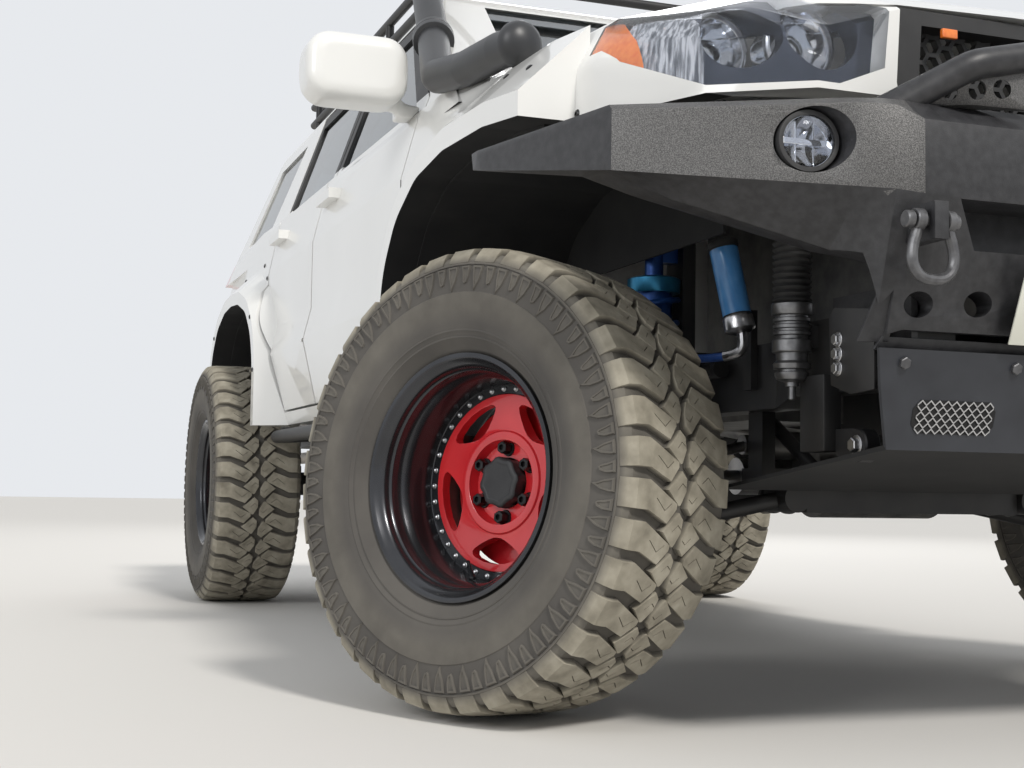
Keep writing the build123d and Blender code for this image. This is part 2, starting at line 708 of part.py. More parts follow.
with BuildPart() as wheel_centre:
    with BuildSketch(Plane.XZ):
        Polygon(*CENTRE_SECTION)
    revolve(axis=Axis.Z)
    with BuildSketch(Plane.XY.offset(20)) as windows:
        for number in range(WINDOW_COUNT):
            middle = number * 360 / WINDOW_COUNT
            Polygon(*[
                radial(WINDOW_OUTER if abs(angle) > 5 else WINDOW_OUTER + 4, middle + angle)
                for angle in (-WINDOW_HALF_ANGLE, -12, 0, 12, WINDOW_HALF_ANGLE)
            ], radial(WINDOW_INNER + 10, middle + 14), radial(WINDOW_INNER, middle),
                radial(WINDOW_INNER + 10, middle - 14), align=None)
        fillet(windows.vertices(), 7)
    extrude(amount=-60, mode=Mode.SUBTRACT)
    with BuildSketch(Plane.XY.offset(-17)):
        with PolarLocations(NUT_CIRCLE - 2, NUT_COUNT):
            RegularPolygon(NUT_RADIUS, 6)
    extrude(amount=24)

# Where each wheel stands: the kingpin, the outward axis of its spindle and its height
REAR_AXLE_Y = FRONT_AXLE_Y + WHEELBASE
WheelSeat = namedtuple("WheelSeat", "name side x y height axis")


def axis_of(side, steer, camber):
    """Outward direction of a spindle, for a wheel steered to the left by the angle."""
    turn = math.radians(steer)
    lean = math.radians(camber)
    return Vector(
        side * math.cos(turn) * math.cos(lean),
        side * math.sin(turn) * math.cos(lean),
        math.sin(lean),
    )


def hub_height(camber):
    """Height of the centre of a wheel that stands on the ground with this camber."""
    lean = math.radians(camber)
    return max(place.Y * math.cos(lean) - place.Z * math.sin(lean) for place in block_corners)


def front_seat(name, side, camber):
    """Seat of a steered wheel, out along its spindle from the kingpin."""
    axis = axis_of(side, STEER_AT_REST, camber)
    height = hub_height(camber)
    return WheelSeat(
        name, side, side * KINGPIN_X + axis.X * SCRUB, FRONT_AXLE_Y + KINGPIN_Y + axis.Y * SCRUB, height, axis
    )


WHEELS = [
    front_seat("front_right", -1, RIGHT_CAMBER),
    front_seat("front_left", 1, LEFT_CAMBER),
    WheelSeat("rear_right", -1, -REAR_TRACK / 2, REAR_AXLE_Y, TYRE_RADIUS, Vector(-1, 0, 0)),
    WheelSeat("rear_left", 1, REAR_TRACK / 2, REAR_AXLE_Y, TYRE_RADIUS, Vector(1, 0, 0)),
]
for seat in WHEELS:
    stand = Plane(origin=(seat.x, seat.y, seat.height), x_dir=(seat.axis.Y, -seat.axis.X, 0), z_dir=seat.axis)
    for piece, kind in ((tyre, "tyre"), (rim, "rim"), (wheel_centre, "wheel_centre")):
        write(piece.part.moved(stand.location), f"{kind}_{seat.name}")

# Knuckles: a plate behind the brake disc, the spindle, two ball-joint arms, the steering
# arm and the brake calliper
SPINDLE_RADIUS = HUB_BORE - 0.5
PLATE_OUTER = -92.0
PLATE_INNER = -122.0
BOSS_RADIUS = 26.0
BOSS_HEIGHT = 26.0
JOINT_GAP = 0.5


for seat in WHEELS[:2]:
    pin_x = seat.side * KINGPIN_X
    pin_y = FRONT_AXLE_Y + KINGPIN_Y
    turn = math.radians(STEER_AT_REST)
    forward = Vector(math.sin(turn), -math.cos(turn), 0)
    arm_end = Vector(pin_x, pin_y, 0) + forward * STEERING_ARM
    stand = Plane(origin=(seat.x, seat.y, seat.height), x_dir=(0, 0, 1), z_dir=seat.axis)
    with BuildPart() as spindle:
        with BuildSketch(stand.offset(PLATE_INNER)):
            Circle(80)
        extrude(amount=PLATE_OUTER - PLATE_INNER)
        with BuildSketch(stand.offset(PLATE_OUTER)):
            Circle(SPINDLE_RADIUS)
        extrude(amount=-13 - PLATE_OUTER)
    flat_out = Vector(seat.axis.X, seat.axis.Y, 0).normalized()

    def upright(low_z, high_z, boss_z):
        """Arm from the plate in to the kingpin, with an upright boss on the pin."""
        middle = Vector(pin_x, pin_y, 0) + flat_out * (SCRUB + PLATE_INNER + 12) / 2
        with BuildPart() as piece:
            with Locations(
                Plane(origin=(middle.X, middle.Y, (low_z + high_z) / 2), x_dir=flat_out).location
            ):
                Box(SCRUB + PLATE_INNER + 12, 36, high_z - low_z)
            with Locations((pin_x, pin_y, boss_z + BOSS_HEIGHT / 2)):
                Cylinder(BOSS_RADIUS, BOSS_HEIGHT)
        return piece.part

    upper_z = UPPER_JOINT_Z - BOSS_HEIGHT
    post = Vector(pin_x, pin_y, 0) + flat_out * (SCRUB + (PLATE_INNER + PLATE_OUTER) / 2)
    with BuildPart() as uprights:
        add(upright(upper_z, UPPER_JOINT_Z, upper_z))
        add(upright(LOWER_JOINT_Z, LOWER_JOINT_Z + BOSS_HEIGHT, LOWER_JOINT_Z))
        with Locations(Plane(origin=(post.X, post.Y, (LOWER_JOINT_Z + UPPER_JOINT_Z) / 2), x_dir=flat_out).location):
            Box(30, 60, UPPER_JOINT_Z - LOWER_JOINT_Z)
        arm_z = TIE_ROD_EYE_Z + 14 + RUNNING_GAP
        arm_start = post
        run = arm_end - arm_start
        with Locations(
            Plane(origin=((arm_start + arm_end) * 0.5 + Vector(0, 0, arm_z + 11)), x_dir=run.normalized()).location
        ):
            Box(run.length, 30, 22)
        with Locations((arm_end.X, arm_end.Y, arm_z + 11)):
            Cylinder(20, 22)
    with BuildPart() as calliper:
        with BuildSketch(stand.offset(-108)):
            with Locations((0, 0)):
                add(Circle(190, mode=Mode.PRIVATE))
                Circle(110, mode=Mode.SUBTRACT)
        extrude(amount=80)
    back = -forward
    keep = Plane(origin=(seat.x, seat.y, seat.height) , x_dir=(back.X, back.Y, 0), z_dir=(0, 0, 1))
    with BuildPart() as calliper_block:
        add(calliper.part)
        with Locations(keep.location):
            Box(400, 400, 190, align=(Align.MIN, Align.CENTER, Align.CENTER), mode=Mode.INTERSECT)
        with BuildSketch(stand.offset(-80)):
            Circle(BRAKE_RADIUS + 5)
        extrude(amount=33, mode=Mode.SUBTRACT)
        with BuildSketch(stand.offset(-60)):
            Circle(BRAKE_RADIUS + 5)
        extrude(amount=60, mode=Mode.SUBTRACT)
    bracket = stand.offset(PLATE_INNER)
    with BuildPart() as carrier:
        with BuildSketch(bracket):
            with Locations(bracket.to_local_coords(keep.origin + back * 95 + flat_out * PLATE_INNER)):
                Rectangle(90, 90)
        extrude(amount=18)
    write(joined(spindle.part, uprights.part, calliper_block.part, carrier.part), f"knuckle_{seat.name[6:]}")
    print("arm end", seat.name, [round(v, 2) for v in (arm_end.X, arm_end.Y)])

CROSS_TOP = 485.0

# Steering rack: a housing on the crossmember, and the bar that slides in it with its rods
RACK_HALF = 340.0
RACK_BORE = 16.0
INNER_JOINT_X = 430.0
rest_shift = STEERING_ARM * math.sin(math.radians(STEER_AT_REST))
arm_back = KINGPIN_Y - STEERING_ARM * math.cos(math.radians(STEER_AT_REST))
housing = without(
    joined(
        rod_between((-RACK_HALF, RACK_Y, RACK_Z), (RACK_HALF, RACK_Y, RACK_Z), 30),
        both_sides(box_between((220, RACK_Y - 40, CROSS_TOP + SEAT_GAP), (260, RACK_Y + 5, RACK_Z))),
    ),
    rod_between((-RACK_HALF - 5, RACK_Y, RACK_Z), (RACK_HALF + 5, RACK_Y, RACK_Z), RACK_BORE),
)
write(housing, "steering_rack")
rods = [rod_between(
    (-INNER_JOINT_X + rest_shift, RACK_Y, RACK_Z), (INNER_JOINT_X + rest_shift, RACK_Y, RACK_Z), RACK_BORE - 0.5
)]
for side in (-1, 1):
    inner = (side * INNER_JOINT_X + rest_shift, RACK_Y, RACK_Z)
    outer = (side * KINGPIN_X + rest_shift, arm_back, TIE_ROD_EYE_Z - 5)
    rods.append(rod_between(inner, outer, TIE_ROD_RADIUS))
    rods.append(rod_between((inner[0] - 18, RACK_Y, RACK_Z), (inner[0] + 18, RACK_Y, RACK_Z), 21))
    with BuildPart() as eye:
        with Locations((outer[0], at(outer[1]), TIE_ROD_EYE_Z)):
            Cylinder(20, 28)
    rods.append(eye.part)
write(joined(*rods), "tie_rods")

# Ladder frame. Columns: station, inner face, bottom
RAILS = [
    (-860, 425, 610), (-480, 425, 610), (-300, 350, 600), (330, 350, 600), (600, 470, RAIL_Z),
    (2050, 470, RAIL_Z), (2350, 470, 630), (3250, 470, 630), (3700, 470, 600),
]
with BuildPart() as rail:
    for station, inner, bottom in RAILS:
        with BuildSketch(Plane.XZ.offset(-at(station))):
            with Locations((inner + RAIL_WIDTH / 2, bottom + RAIL_HEIGHT / 2)):
                Rectangle(RAIL_WIDTH, RAIL_HEIGHT)
    loft(ruled=True)
cross = [
    box_between((-430, -700, 630), (430, -640, 720)),
    box_between((-265, -150, 395), (265, -90, CROSS_TOP)),
    box_between((-265, 130, 395), (265, 190, CROSS_TOP)),
    box_between((-385, -150, 457), (385, -90, CROSS_TOP)),
    box_between((-385, 130, 457), (385, 190, CROSS_TOP)),
    box_between((-480, 1300, 560), (480, 1370, 605)),
    box_between((-480, 2150, 600), (480, 2210, 690)),
    box_between((-480, 3420, 630), (480, 3480, 720)),
]
TOWER_X = 470.0
hangers = [
    both_sides(box_between((355, -175, 457), (385, -118, 620))),
    both_sides(box_between((355, 130, CROSS_TOP - 5), (385, 190, 620))),
    both_sides(box_between((360, 20, 700), (TOWER_X, 100, 735))),
    both_sides(box_between((TOWER_X - 30, 20, 700), (TOWER_X, 100, 990))),
]
MOUNT_STATIONS = (700, 1400, 2000)
body_mounts = []
for station in MOUNT_STATIONS:
    with BuildPart() as puck:
        with Locations((507, at(station), (RAIL_Z + RAIL_HEIGHT + FLOOR_Z) / 2 - 5)):
            Cylinder(34, FLOOR_Z - RAIL_Z - RAIL_HEIGHT + 10)
    body_mounts.append(both_sides(without(puck.part, box_between((-900, 0, FLOOR_Z), (900, 4000, 900)))))
ladder_frame = joined(both_sides(rail.part), *cross, *hangers, *body_mounts)
write(ladder_frame, "ladder_frame")
print("frame solids", len(ladder_frame.solids()))

# Front arms: lower wishbones from their bushes to the kingpin's foot, upper ones above
LOWER_BUSH_X = 295.5
UPPER_BUSH_X = 444.5
arms = []
for side in (-1, 1):
    foot = (side * KINGPIN_X, KINGPIN_Y, LOWER_JOINT_Z - 25)
    head = (side * KINGPIN_X, KINGPIN_Y, UPPER_JOINT_Z + 16)
    with BuildPart() as bosses:
        with Locations((foot[0], at(foot[1]), LOWER_JOINT_Z - JOINT_GAP - 19)):
            Cylinder(30, 38)
    lower = joined(
        bosses.part,
        rod_between(foot, (side * LOWER_BUSH_X, -120, 425), 18),
        rod_between(foot, (side * LOWER_BUSH_X, 160, 425), 18),
        rod_between((side * LOWER_BUSH_X, -165, 425), (side * LOWER_BUSH_X, -75, 425), 30),
        rod_between((side * LOWER_BUSH_X, 115, 425), (side * LOWER_BUSH_X, 205, 425), 30),
        box_between((min(side * 480, side * 560), -60, 366), (max(side * 480, side * 560), 100, 402)),
    )
    with BuildPart() as cap:
        with Locations((head[0], at(head[1]), UPPER_JOINT_Z + JOINT_GAP + 16)):
            Cylinder(28, 32)
    upper = joined(
        cap.part,
        rod_between(head, (side * UPPER_BUSH_X, -85, 690), 13),
        rod_between(head, (side * UPPER_BUSH_X, 230, 690), 13),
        rod_between((side * UPPER_BUSH_X, -110, 690), (side * UPPER_BUSH_X, -60, 690), 19),
        rod_between((side * UPPER_BUSH_X, 205, 690), (side * UPPER_BUSH_X, 255, 690), 19),
    )
    arms += [lower, upper]
write(joined(*arms), "control_arms")

# Coilovers with their reservoirs and bump cans
COILOVER_X = 520.0
COILOVER_STATION = 60.0
coilovers = []
for side in (-1, 1):
    coilovers.append(joined(
        rod_between((side * COILOVER_X, COILOVER_STATION, 402 + SEAT_GAP), (side * COILOVER_X, COILOVER_STATION, 880), 40),
        rod_between((side * COILOVER_X, COILOVER_STATION, 880), (side * COILOVER_X, COILOVER_STATION, 985), 20),
        box_between((min(side * (TOWER_X + SEAT_GAP), side * COILOVER_X), 45, 930),
                    (max(side * (TOWER_X + SEAT_GAP), side * COILOVER_X), 75, 975)),
    ))
    coilovers.append(joined(
        rod_between((side * 470, -235, 760), (side * 492, -200, 930), 28),
        box_between((min(side * 425.3, side * 490), -225, 765), (max(side * 425.3, side * 490), -195, 800)),
        box_between((min(side * 425.3, side * 440), -225, 640), (max(side * 425.3, side * 440), -195, 800)),
    ))
    coilovers.append(joined(
        rod_between((side * 545, -560, 670), (side * 545, -560, 810), 27),
        box_between((min(side * 500.3, side * 545), -575, 690), (max(side * 500.3, side * 545), -545, 730)),
    ))
write(joined(*coilovers), "coilovers")

# Engine with its gearbox and front differential, as plain heavy blocks
engine = box_between((-250, -420, 735), (250, 330, 1180))
sump = box_between((-340, -300, 700), (340, -200, 740))
gearbox = joined(
    box_between((-140, 330, 735), (140, 535, 1000)),
    box_between((-130, 330, 610), (130, 1250, 750)),
    box_between((-130, 1150, 600), (235, 1250, 750)),
)
differential = joined(
    rod_between((-150, 20, 470), (150, 20, 470), 88),
    rod_between((-270, 20, 470), (270, 20, 470), 42),
    rod_between((170, 20, 520), (170, 112, 520), 30),
)
write(joined(engine, sump, gearbox, differential), "powertrain")

# Shafts: two front half shafts with their joints at the kingpins, two propeller shafts
HALF_SHAFT_RADIUS = 16.0
shafts = []
for seat in WHEELS[:2]:
    with BuildPart() as joint:
        with Locations((seat.side * KINGPIN_X, FRONT_AXLE_Y + KINGPIN_Y, seat.height)):
            Sphere(46)
    shafts.append(joined(
        joint.part,
        rod_between((seat.side * 275, 20, 470), (seat.side * KINGPIN_X, KINGPIN_Y, seat.height), HALF_SHAFT_RADIUS),
        rod_between((seat.side * 270.5, 20, 470), (seat.side * 340, 20, 470), 40),
    ))
shafts.append(rod_between((170, 115.7, 520), (170, 1146.5, 640), 28))
shafts.append(rod_between((0, 1256, 665), (0, WHEELBASE - 156, 470), 36))
write(joined(*shafts), "drive_shafts")

# Rear axle
AXLE_RADIUS = 44.0
axle = joined(
    rod_between((-REAR_TRACK / 2 + 115, WHEELBASE, TYRE_RADIUS), (REAR_TRACK / 2 - 115, WHEELBASE, TYRE_RADIUS),
                AXLE_RADIUS),
    rod_between((-REAR_TRACK / 2 + 14, WHEELBASE, TYRE_RADIUS), (REAR_TRACK / 2 - 14, WHEELBASE, TYRE_RADIUS),
                SPINDLE_RADIUS),
)
pumpkin = joined(
    rod_between((0, WHEELBASE - 90, TYRE_RADIUS), (0, WHEELBASE + 90, TYRE_RADIUS), 148),
    rod_between((0, WHEELBASE - 150, TYRE_RADIUS + 28), (0, WHEELBASE, TYRE_RADIUS + 28), 62),
)
seats_for_springs = both_sides(box_between((430, WHEELBASE - 110, TYRE_RADIUS + 20),
                                           (560, WHEELBASE + 30, TYRE_RADIUS + 50)))
link_brackets = both_sides(box_between((500, WHEELBASE - 70, TYRE_RADIUS - 90), (540, WHEELBASE + 70, TYRE_RADIUS)))
plates = both_sides(rod_between((REAR_TRACK / 2 - 150, WHEELBASE, TYRE_RADIUS),
                                (REAR_TRACK / 2 - 122, WHEELBASE, TYRE_RADIUS), 75))
write(joined(axle, pumpkin, seats_for_springs, link_brackets, plates), "rear_axle")

# Rear springs, dampers and links
SPRING_RADIUS = 58.0
springs = both_sides(rod_between((500, WHEELBASE - 40, TYRE_RADIUS + 50), (500, WHEELBASE - 40, 630), SPRING_RADIUS))
dampers = both_sides(joined(
    rod_between((582, WHEELBASE + 90, TYRE_RADIUS - 50), (575, WHEELBASE + 150, 690), 24),
    box_between((545.3, WHEELBASE + 130, 660), (580, WHEELBASE + 165, 690)),
))
links = both_sides(rod_between((520, WHEELBASE - 77.2, TYRE_RADIUS - 55), (508, 2180, 589.5), 20))
write(joined(springs, dampers, links), "rear_suspension")

# Exhaust and fuel tank
exhaust = joined(
    bent_tube([(-130.5, 420, 660), (-230, 420, 660), (-300, 520, 540), (-300, 700, 525), (-300, 2330, 525), (-380, 2600, 575),
               (-380, 3180, 575)], 26, 40),
    bent_tube([(-380, 3150, 575), (-380, 3500, 575), (-500, 3860, 560)], 26, 120),
    box_between((-450, 3050, 520), (-300, 3400, 629.7)),
    box_between((-330, 1310, 540), (-270, 1340, 559.7)),
)
write(exhaust, "exhaust")
tank = box_between((175, 1400, 560), (469.7, 2140, 745))
write(tank, "fuel_tank")

# Front bumper, lofted across the vehicle. Columns: half width, then (station, height) of
# the top at the back, the top at the front, the brow, the foot of the face, the chin and
# the back of the chin
BUMPER = [
    (0, (-800, 1050), (-897, 1050), (-950, 1008), (-950, 893), (-900, 690), (-882, 690)),
    (545, (-800, 1050), (-897, 1050), (-950, 1008), (-950, 893), (-890, 690), (-875, 690)),
    (590, (-790, 1050), (-893, 1050), (-941, 1028), (-941, 898), (-878, 676), (-860, 676)),
    (635, (-770, 1050), (-875, 1050), (-920, 1032), (-918, 902), (-800, 800), (-775, 800)),
    (957, (-560, 1050), (-690, 1050), (-700, 1040), (-700, 942), (-650, 955), (-580, 955)),
    (1050, (-270, 1050), (-300, 1050), (-308, 1044), (-308, 1012), (-290, 1018), (-280, 1018)),
]
with BuildPart() as bumper_half:
    for row in BUMPER:
        with BuildSketch(Plane.YZ.offset(row[0])):
            Polygon(*[(at(station), height) for station, height in row[1:]])
    loft(ruled=True)
WINCH_OPENING = [(-480, 890), (480, 890), (440, 815), (-440, 815)]
with BuildPart() as holes:
    with BuildSketch(Plane.XZ.offset(-at(-700))):
        with Locations((524, 729), (416, 735), (-524, 729), (-416, 735)):
            Ellipse(26, 20)
    extrude(amount=300)
bumper_body = both_sides(bumper_half.part)
FOG_X = 695.0
FOG_Z = 978.0
FOG_RADIUS = 52.0
FOG_FACE = -852.0
fog_space = both_sides(rod_between((FOG_X, -1000, FOG_Z), (FOG_X, -600, FOG_Z), FOG_RADIUS))
hoop = bent_tube(
    [(-560, -860, 1040), (-440, -930, 1110), (-330, -930, 1135), (330, -930, 1135), (440, -930, 1110),
     (560, -860, 1040)], 24, 60)
brackets = both_sides(box_between((500.3, -866, 645), (512, -640, 770)))
SHACKLE_X = 552.0
SHACKLE_PIN = (-978.0, 845.0)
PIN_RADIUS = 10.0
tab_plate = box_between((SHACKLE_X - 12, -1000, 815), (SHACKLE_X + 12, -930, 872))
tab_hole = rod_between((SHACKLE_X - 30, *SHACKLE_PIN), (SHACKLE_X + 30, *SHACKLE_PIN), PIN_RADIUS + SEAT_GAP)
tabs = both_sides(without(tab_plate, tab_hole))
front_bumper = joined(
    without(bumper_body, front_prism(WINCH_OPENING, -1000, -860), holes.part, fog_space),
    hoop, brackets, tabs,
)
write(front_bumper, "front_bumper")

# Bow shackles, each hanging on its pin through a tab
SHACKLE_BOW = [(-27, 862), (-27, 846), (-40, 795), (-24, 748), (24, 748), (40, 795), (27, 846), (27, 862)]
bow = bent_tube([(SHACKLE_X + x, SHACKLE_PIN[0], z) for x, z in SHACKLE_BOW], 9, 14)
pin = rod_between((SHACKLE_X - 44, *SHACKLE_PIN), (SHACKLE_X + 48, *SHACKLE_PIN), PIN_RADIUS)
write(both_sides(joined(bow, pin)), "shackles")

skid = side_prism([(-905, 690), (-872, 600), (-845, 505), (-300, 440), (-300, 446), (-840, 512), (-866, 604),
                   (-899, 690)], -555, 555)
write(skid, "skid_plate")

rear_bumper = plan_prism([(-880, 3560), (-850, 3800), (-760, 3890), (760, 3890), (850, 3800), (880, 3560),
                          (810, 3560), (790, 3760), (-790, 3760), (-810, 3560)], 640, 830)
tail_arms = both_sides(box_between((545.3, 3600, 645), (580, 3770, 725)))
write(joined(rear_bumper, tail_arms), "rear_bumper")

SLIDER_X = 935.0
SLIDER_Z = 600.0
slider_legs = [both_sides(rod_between((545.3, station, SLIDER_Z + 12), (SLIDER_X, station, SLIDER_Z + 12), 20))
               for station in (850, 1500, 2100)]
sliders = joined(
    both_sides(bent_tube([(800, 640, 610), (SLIDER_X, 760, SLIDER_Z), (SLIDER_X, 2190, SLIDER_Z),
                          (800, 2270, 610)], 22, 50)),
    *slider_legs,
)
write(sliders, "side_sliders")

SNORKEL_RADIUS = 40.0
snorkel = without(
    joined(
        bent_tube([(-858, 15, 1362), (-872, 90, 1368), (-893, 260, 1372), (-912, 420, 1394), (-838, 718, 1592),
                   (-803, 890, 1737), (-780, 1030, 1860), (-775, 1090, 1930)], SNORKEL_RADIUS, 45),
        box_between((-835, 1050, 1900), (-715, 1230, 1990)),
    ),
    outer_body, front_flares,
)
write(snorkel, "snorkel")

RACK_BASE = 1925.0
rack = joined(
    *[both_sides(rod_between((640, 1200, z), (640, 3100, z), 15)) for z in (RACK_BASE, RACK_BASE + 75)],
    *[rod_between((-640, station, RACK_BASE), (640, station, RACK_BASE), 14)
      for station in (1200, 1500, 1800, 2100, 2400, 2700, 3100)],
    *[both_sides(rod_between((640, station, 1845), (640, station, RACK_BASE + 75), 14))
      for station in (1300, 1900, 2500, 3000)],
    rod_between((-640, 1200, RACK_BASE + 75), (640, 1200, RACK_BASE + 75), 15),
    rod_between((-640, 3100, RACK_BASE + 75), (640, 3100, RACK_BASE + 75), 15),
)
write(without(rack, outer_body), "roof_rack")

# Inside the cab: dashboard with its column, steering wheel, front and rear seats
dashboard = joined(
    side_prism([(576.3, 1060), (576.3, 1330), (800, 1330), (890, 1230), (860, 1060)], -780, 780),
    box_between((-110, 800, FLOOR_Z + FLOOR_THICKNESS), (110, 1420, 1010)),
    box_between((-110, 576.3, 1000), (110, 810, 1100)),
    rod_between((370, 821, 1174.1), (370, 965.67, 1241.64), 25),
)
write(dashboard, "dashboard")
seats = []
for x in (-370, 370):
    seats.append(joined(
        box_between((x - 250, 1150, FLOOR_Z + FLOOR_THICKNESS), (x + 250, 1640, 1090)),
        side_prism([(1600, 1000), (1720, 1000), (1830, 1580), (1730, 1580)], x - 240, x + 240),
        side_prism([(1740, 1560), (1840, 1560), (1860, 1730), (1770, 1730)], x - 120, x + 120),
    ))
seats.append(joined(
    box_between((-640, 2000, FLOOR_Z + FLOOR_THICKNESS), (640, 2480, 1090)),
    side_prism([(2440, 1000), (2560, 1000), (2660, 1560), (2560, 1560)], -640, 640),
))
write(joined(*seats), "seats")
STEERING_TILT = 65.0
with BuildPart() as steering_wheel:
    column = Plane(origin=(370, at(975), 1246), z_dir=(0, math.sin(math.radians(STEERING_TILT)),
                                                     math.cos(math.radians(STEERING_TILT))))
    with Locations(column.location):
        Torus(180, 15)
        Cylinder(45, 20)
        Box(340, 30, 14)
write(steering_wheel.part, "steering_wheel")

lamps = joined(
    headlamps,
    tail_lamps,
    both_sides(rod_between((FOG_X, FOG_FACE, FOG_Z), (FOG_X, FOG_FACE + 110, FOG_Z), FOG_RADIUS - SEAT_GAP)),
)
write(lamps, "lamps")
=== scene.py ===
import bmesh
import bpy
import contextlib
import math
from mathutils import Matrix, Vector


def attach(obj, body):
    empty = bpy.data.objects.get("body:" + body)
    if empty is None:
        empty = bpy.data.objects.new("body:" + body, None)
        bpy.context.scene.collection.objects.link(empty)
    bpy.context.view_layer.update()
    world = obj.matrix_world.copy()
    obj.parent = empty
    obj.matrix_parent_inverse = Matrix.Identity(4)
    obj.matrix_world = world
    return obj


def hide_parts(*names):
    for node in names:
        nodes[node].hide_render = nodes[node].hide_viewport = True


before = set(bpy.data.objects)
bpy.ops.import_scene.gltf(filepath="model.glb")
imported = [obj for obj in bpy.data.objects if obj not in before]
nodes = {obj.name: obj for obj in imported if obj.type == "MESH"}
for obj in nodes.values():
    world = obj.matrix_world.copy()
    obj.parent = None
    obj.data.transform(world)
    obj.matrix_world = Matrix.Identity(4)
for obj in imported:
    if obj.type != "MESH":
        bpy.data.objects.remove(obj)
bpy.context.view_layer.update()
bpy.ops.object.select_all(action="DESELECT")


def linked(name, data):
    """A new object in the scene."""
    thing = bpy.data.objects.new(name, data)
    bpy.context.scene.collection.objects.link(thing)
    return thing


# The camera stands low beside the front wheel, as the photographer did
CAMERA_PLACE = (-1.8761, -4.2545, 0.4337)
YAW, PITCH, ROLL = math.radians(19.817), math.radians(4.123), math.radians(0.916)
FOCAL_LENGTH = 1460.4  # in pixels of the photo
PHOTO_WIDTH = 1024
camera_data = bpy.data.cameras.new("photo_camera")
camera_data.sensor_width = 36.0
camera_data.lens = camera_data.sensor_width * FOCAL_LENGTH / PHOTO_WIDTH
camera = linked("photo_camera", camera_data)
turn = Matrix.Rotation(-YAW, 4, "Z") @ Matrix.Rotation(math.pi / 2 + PITCH, 4, "X")
camera.matrix_world = Matrix.Translation(CAMERA_PLACE) @ turn @ Matrix.Rotation(ROLL, 4, "Z")
bpy.context.scene.camera = camera

# Finishes, kept by name
FINISH = {}


def plain(name, colour, roughness, metallic=0.0, coat=0.0, ior=None):
    """A new finish of one colour, clear if it has an index of refraction; gives its node tree and shader."""
    material = bpy.data.materials.new(name)
    material.use_nodes = True
    shader = material.node_tree.nodes["Principled BSDF"]
    values = {"Base Color": (*colour, 1), "Roughness": roughness, "Metallic": metallic, "Coat Weight": coat}
    if ior:
        values.update({"Transmission Weight": 1.0, "IOR": ior})
    for socket, value in values.items():
        shader.inputs[socket].default_value = value
    FINISH[name] = material
    return material.node_tree, shader


def grain(tree, scale, detail=3.0, stretch=(1, 1, 1)):
    """Noise on Object coordinates, to drive colour or bump."""
    place = tree.nodes.new("ShaderNodeTexCoord")
    mapping = tree.nodes.new("ShaderNodeMapping")
    mapping.inputs["Scale"].default_value = stretch
    texture = tree.nodes.new("ShaderNodeTexNoise")
    texture.inputs["Scale"].default_value = scale
    texture.inputs["Detail"].default_value = detail
    tree.links.new(place.outputs["Object"], mapping.inputs["Vector"])
    tree.links.new(mapping.outputs["Vector"], texture.inputs["Vector"])
    return texture.outputs[0]


def ramp(tree, texture, places, colours):
    """Colour that a texture picks from a row of colours at their places."""
    node = tree.nodes.new("ShaderNodeValToRGB")
    elements = node.color_ramp.elements
    while len(elements) < len(colours):
        elements.new(0.5)
    for element, place, colour in zip(elements, places, colours):
        element.position = place
        element.color = (*colour, 1)
    tree.links.new(texture, node.inputs["Fac"])
    return node.outputs["Color"]


def relief(tree, shader, texture, strength, distance):
    """Bump of a surface from a texture, on top of the bump that it has."""
    bump = tree.nodes.new("ShaderNodeBump")
    bump.inputs["Strength"].default_value = strength
    bump.inputs["Distance"].default_value = distance
    tree.links.new(texture, bump.inputs["Height"])
    last = shader.inputs["Normal"].links
    if last:
        tree.links.new(last[0].from_socket, bump.inputs["Normal"])
    tree.links.new(bump.outputs["Normal"], shader.inputs["Normal"])


def graded(name, colours, roughness, scale, bumps=(), places=(0.3, 0.7), detail=4.0, stretch=(1, 1, 1), **more):
    """A finish whose colour wanders between several, with bumps of (scale, strength, distance)."""
    tree, shader = plain(name, colours[0], roughness, **more)
    colour = ramp(tree, grain(tree, scale, detail, stretch), places, colours)
    tree.links.new(colour, shader.inputs["Base Color"])
    for bump_scale, strength, distance in bumps:
        relief(tree, shader, grain(tree, bump_scale), strength, distance)


graded("body_white", [(0.74, 0.74, 0.72), (0.8, 0.8, 0.785)], 0.3, 1.4, [(3.0, 0.02, 0.004)],
       places=(0.35, 0.65), coat=0.7)
graded("liner_black", [(0.005, 0.005, 0.006), (0.013, 0.013, 0.013)], 0.9, 9, [(180, 0.25, 0.0006)])
graded("frame_black", [(0.008, 0.008, 0.009), (0.022, 0.021, 0.02)], 0.48, 11, [(90, 0.12, 0.0006)],
       places=(0.35, 0.75))
# The textured bumper coat is real, its light grey partly painted sunlight; the darker bumper satin is painted
# shade
graded("bumper_coat", [(0.055, 0.054, 0.054), (0.15, 0.147, 0.145)], 0.38, 620,
       [(520, 0.55, 0.0012), (1500, 0.4, 0.0006)], places=(0.4, 0.62), detail=2.0, metallic=0.25)
graded("bumper_satin_shade", [(0.018, 0.018, 0.02), (0.034, 0.034, 0.037)], 0.42, 60, [(620, 0.35, 0.0007)],
       places=(0.35, 0.7))
graded("skid_black", [(0.02, 0.022, 0.028), (0.032, 0.035, 0.043)], 0.42, 14, [(900, 0.1, 0.0003)])
graded("rim_black", [(0.035, 0.036, 0.04), (0.06, 0.062, 0.068)], 0.26, 7, metallic=0.75, coat=0.2)
graded("nut_black", [(0.012, 0.012, 0.013), (0.03, 0.03, 0.031)], 0.3, 60, metallic=0.6)
graded("cap_black", [(0.022, 0.022, 0.024), (0.034, 0.034, 0.036)], 0.5, 30, [(700, 0.2, 0.0003)])
graded("stud_steel", [(0.42, 0.42, 0.43), (0.58, 0.58, 0.59)], 0.3, 90, metallic=1.0)
graded("wheel_red", [(0.56, 0.014, 0.022), (0.68, 0.024, 0.03)], 0.25, 8, coat=0.8)
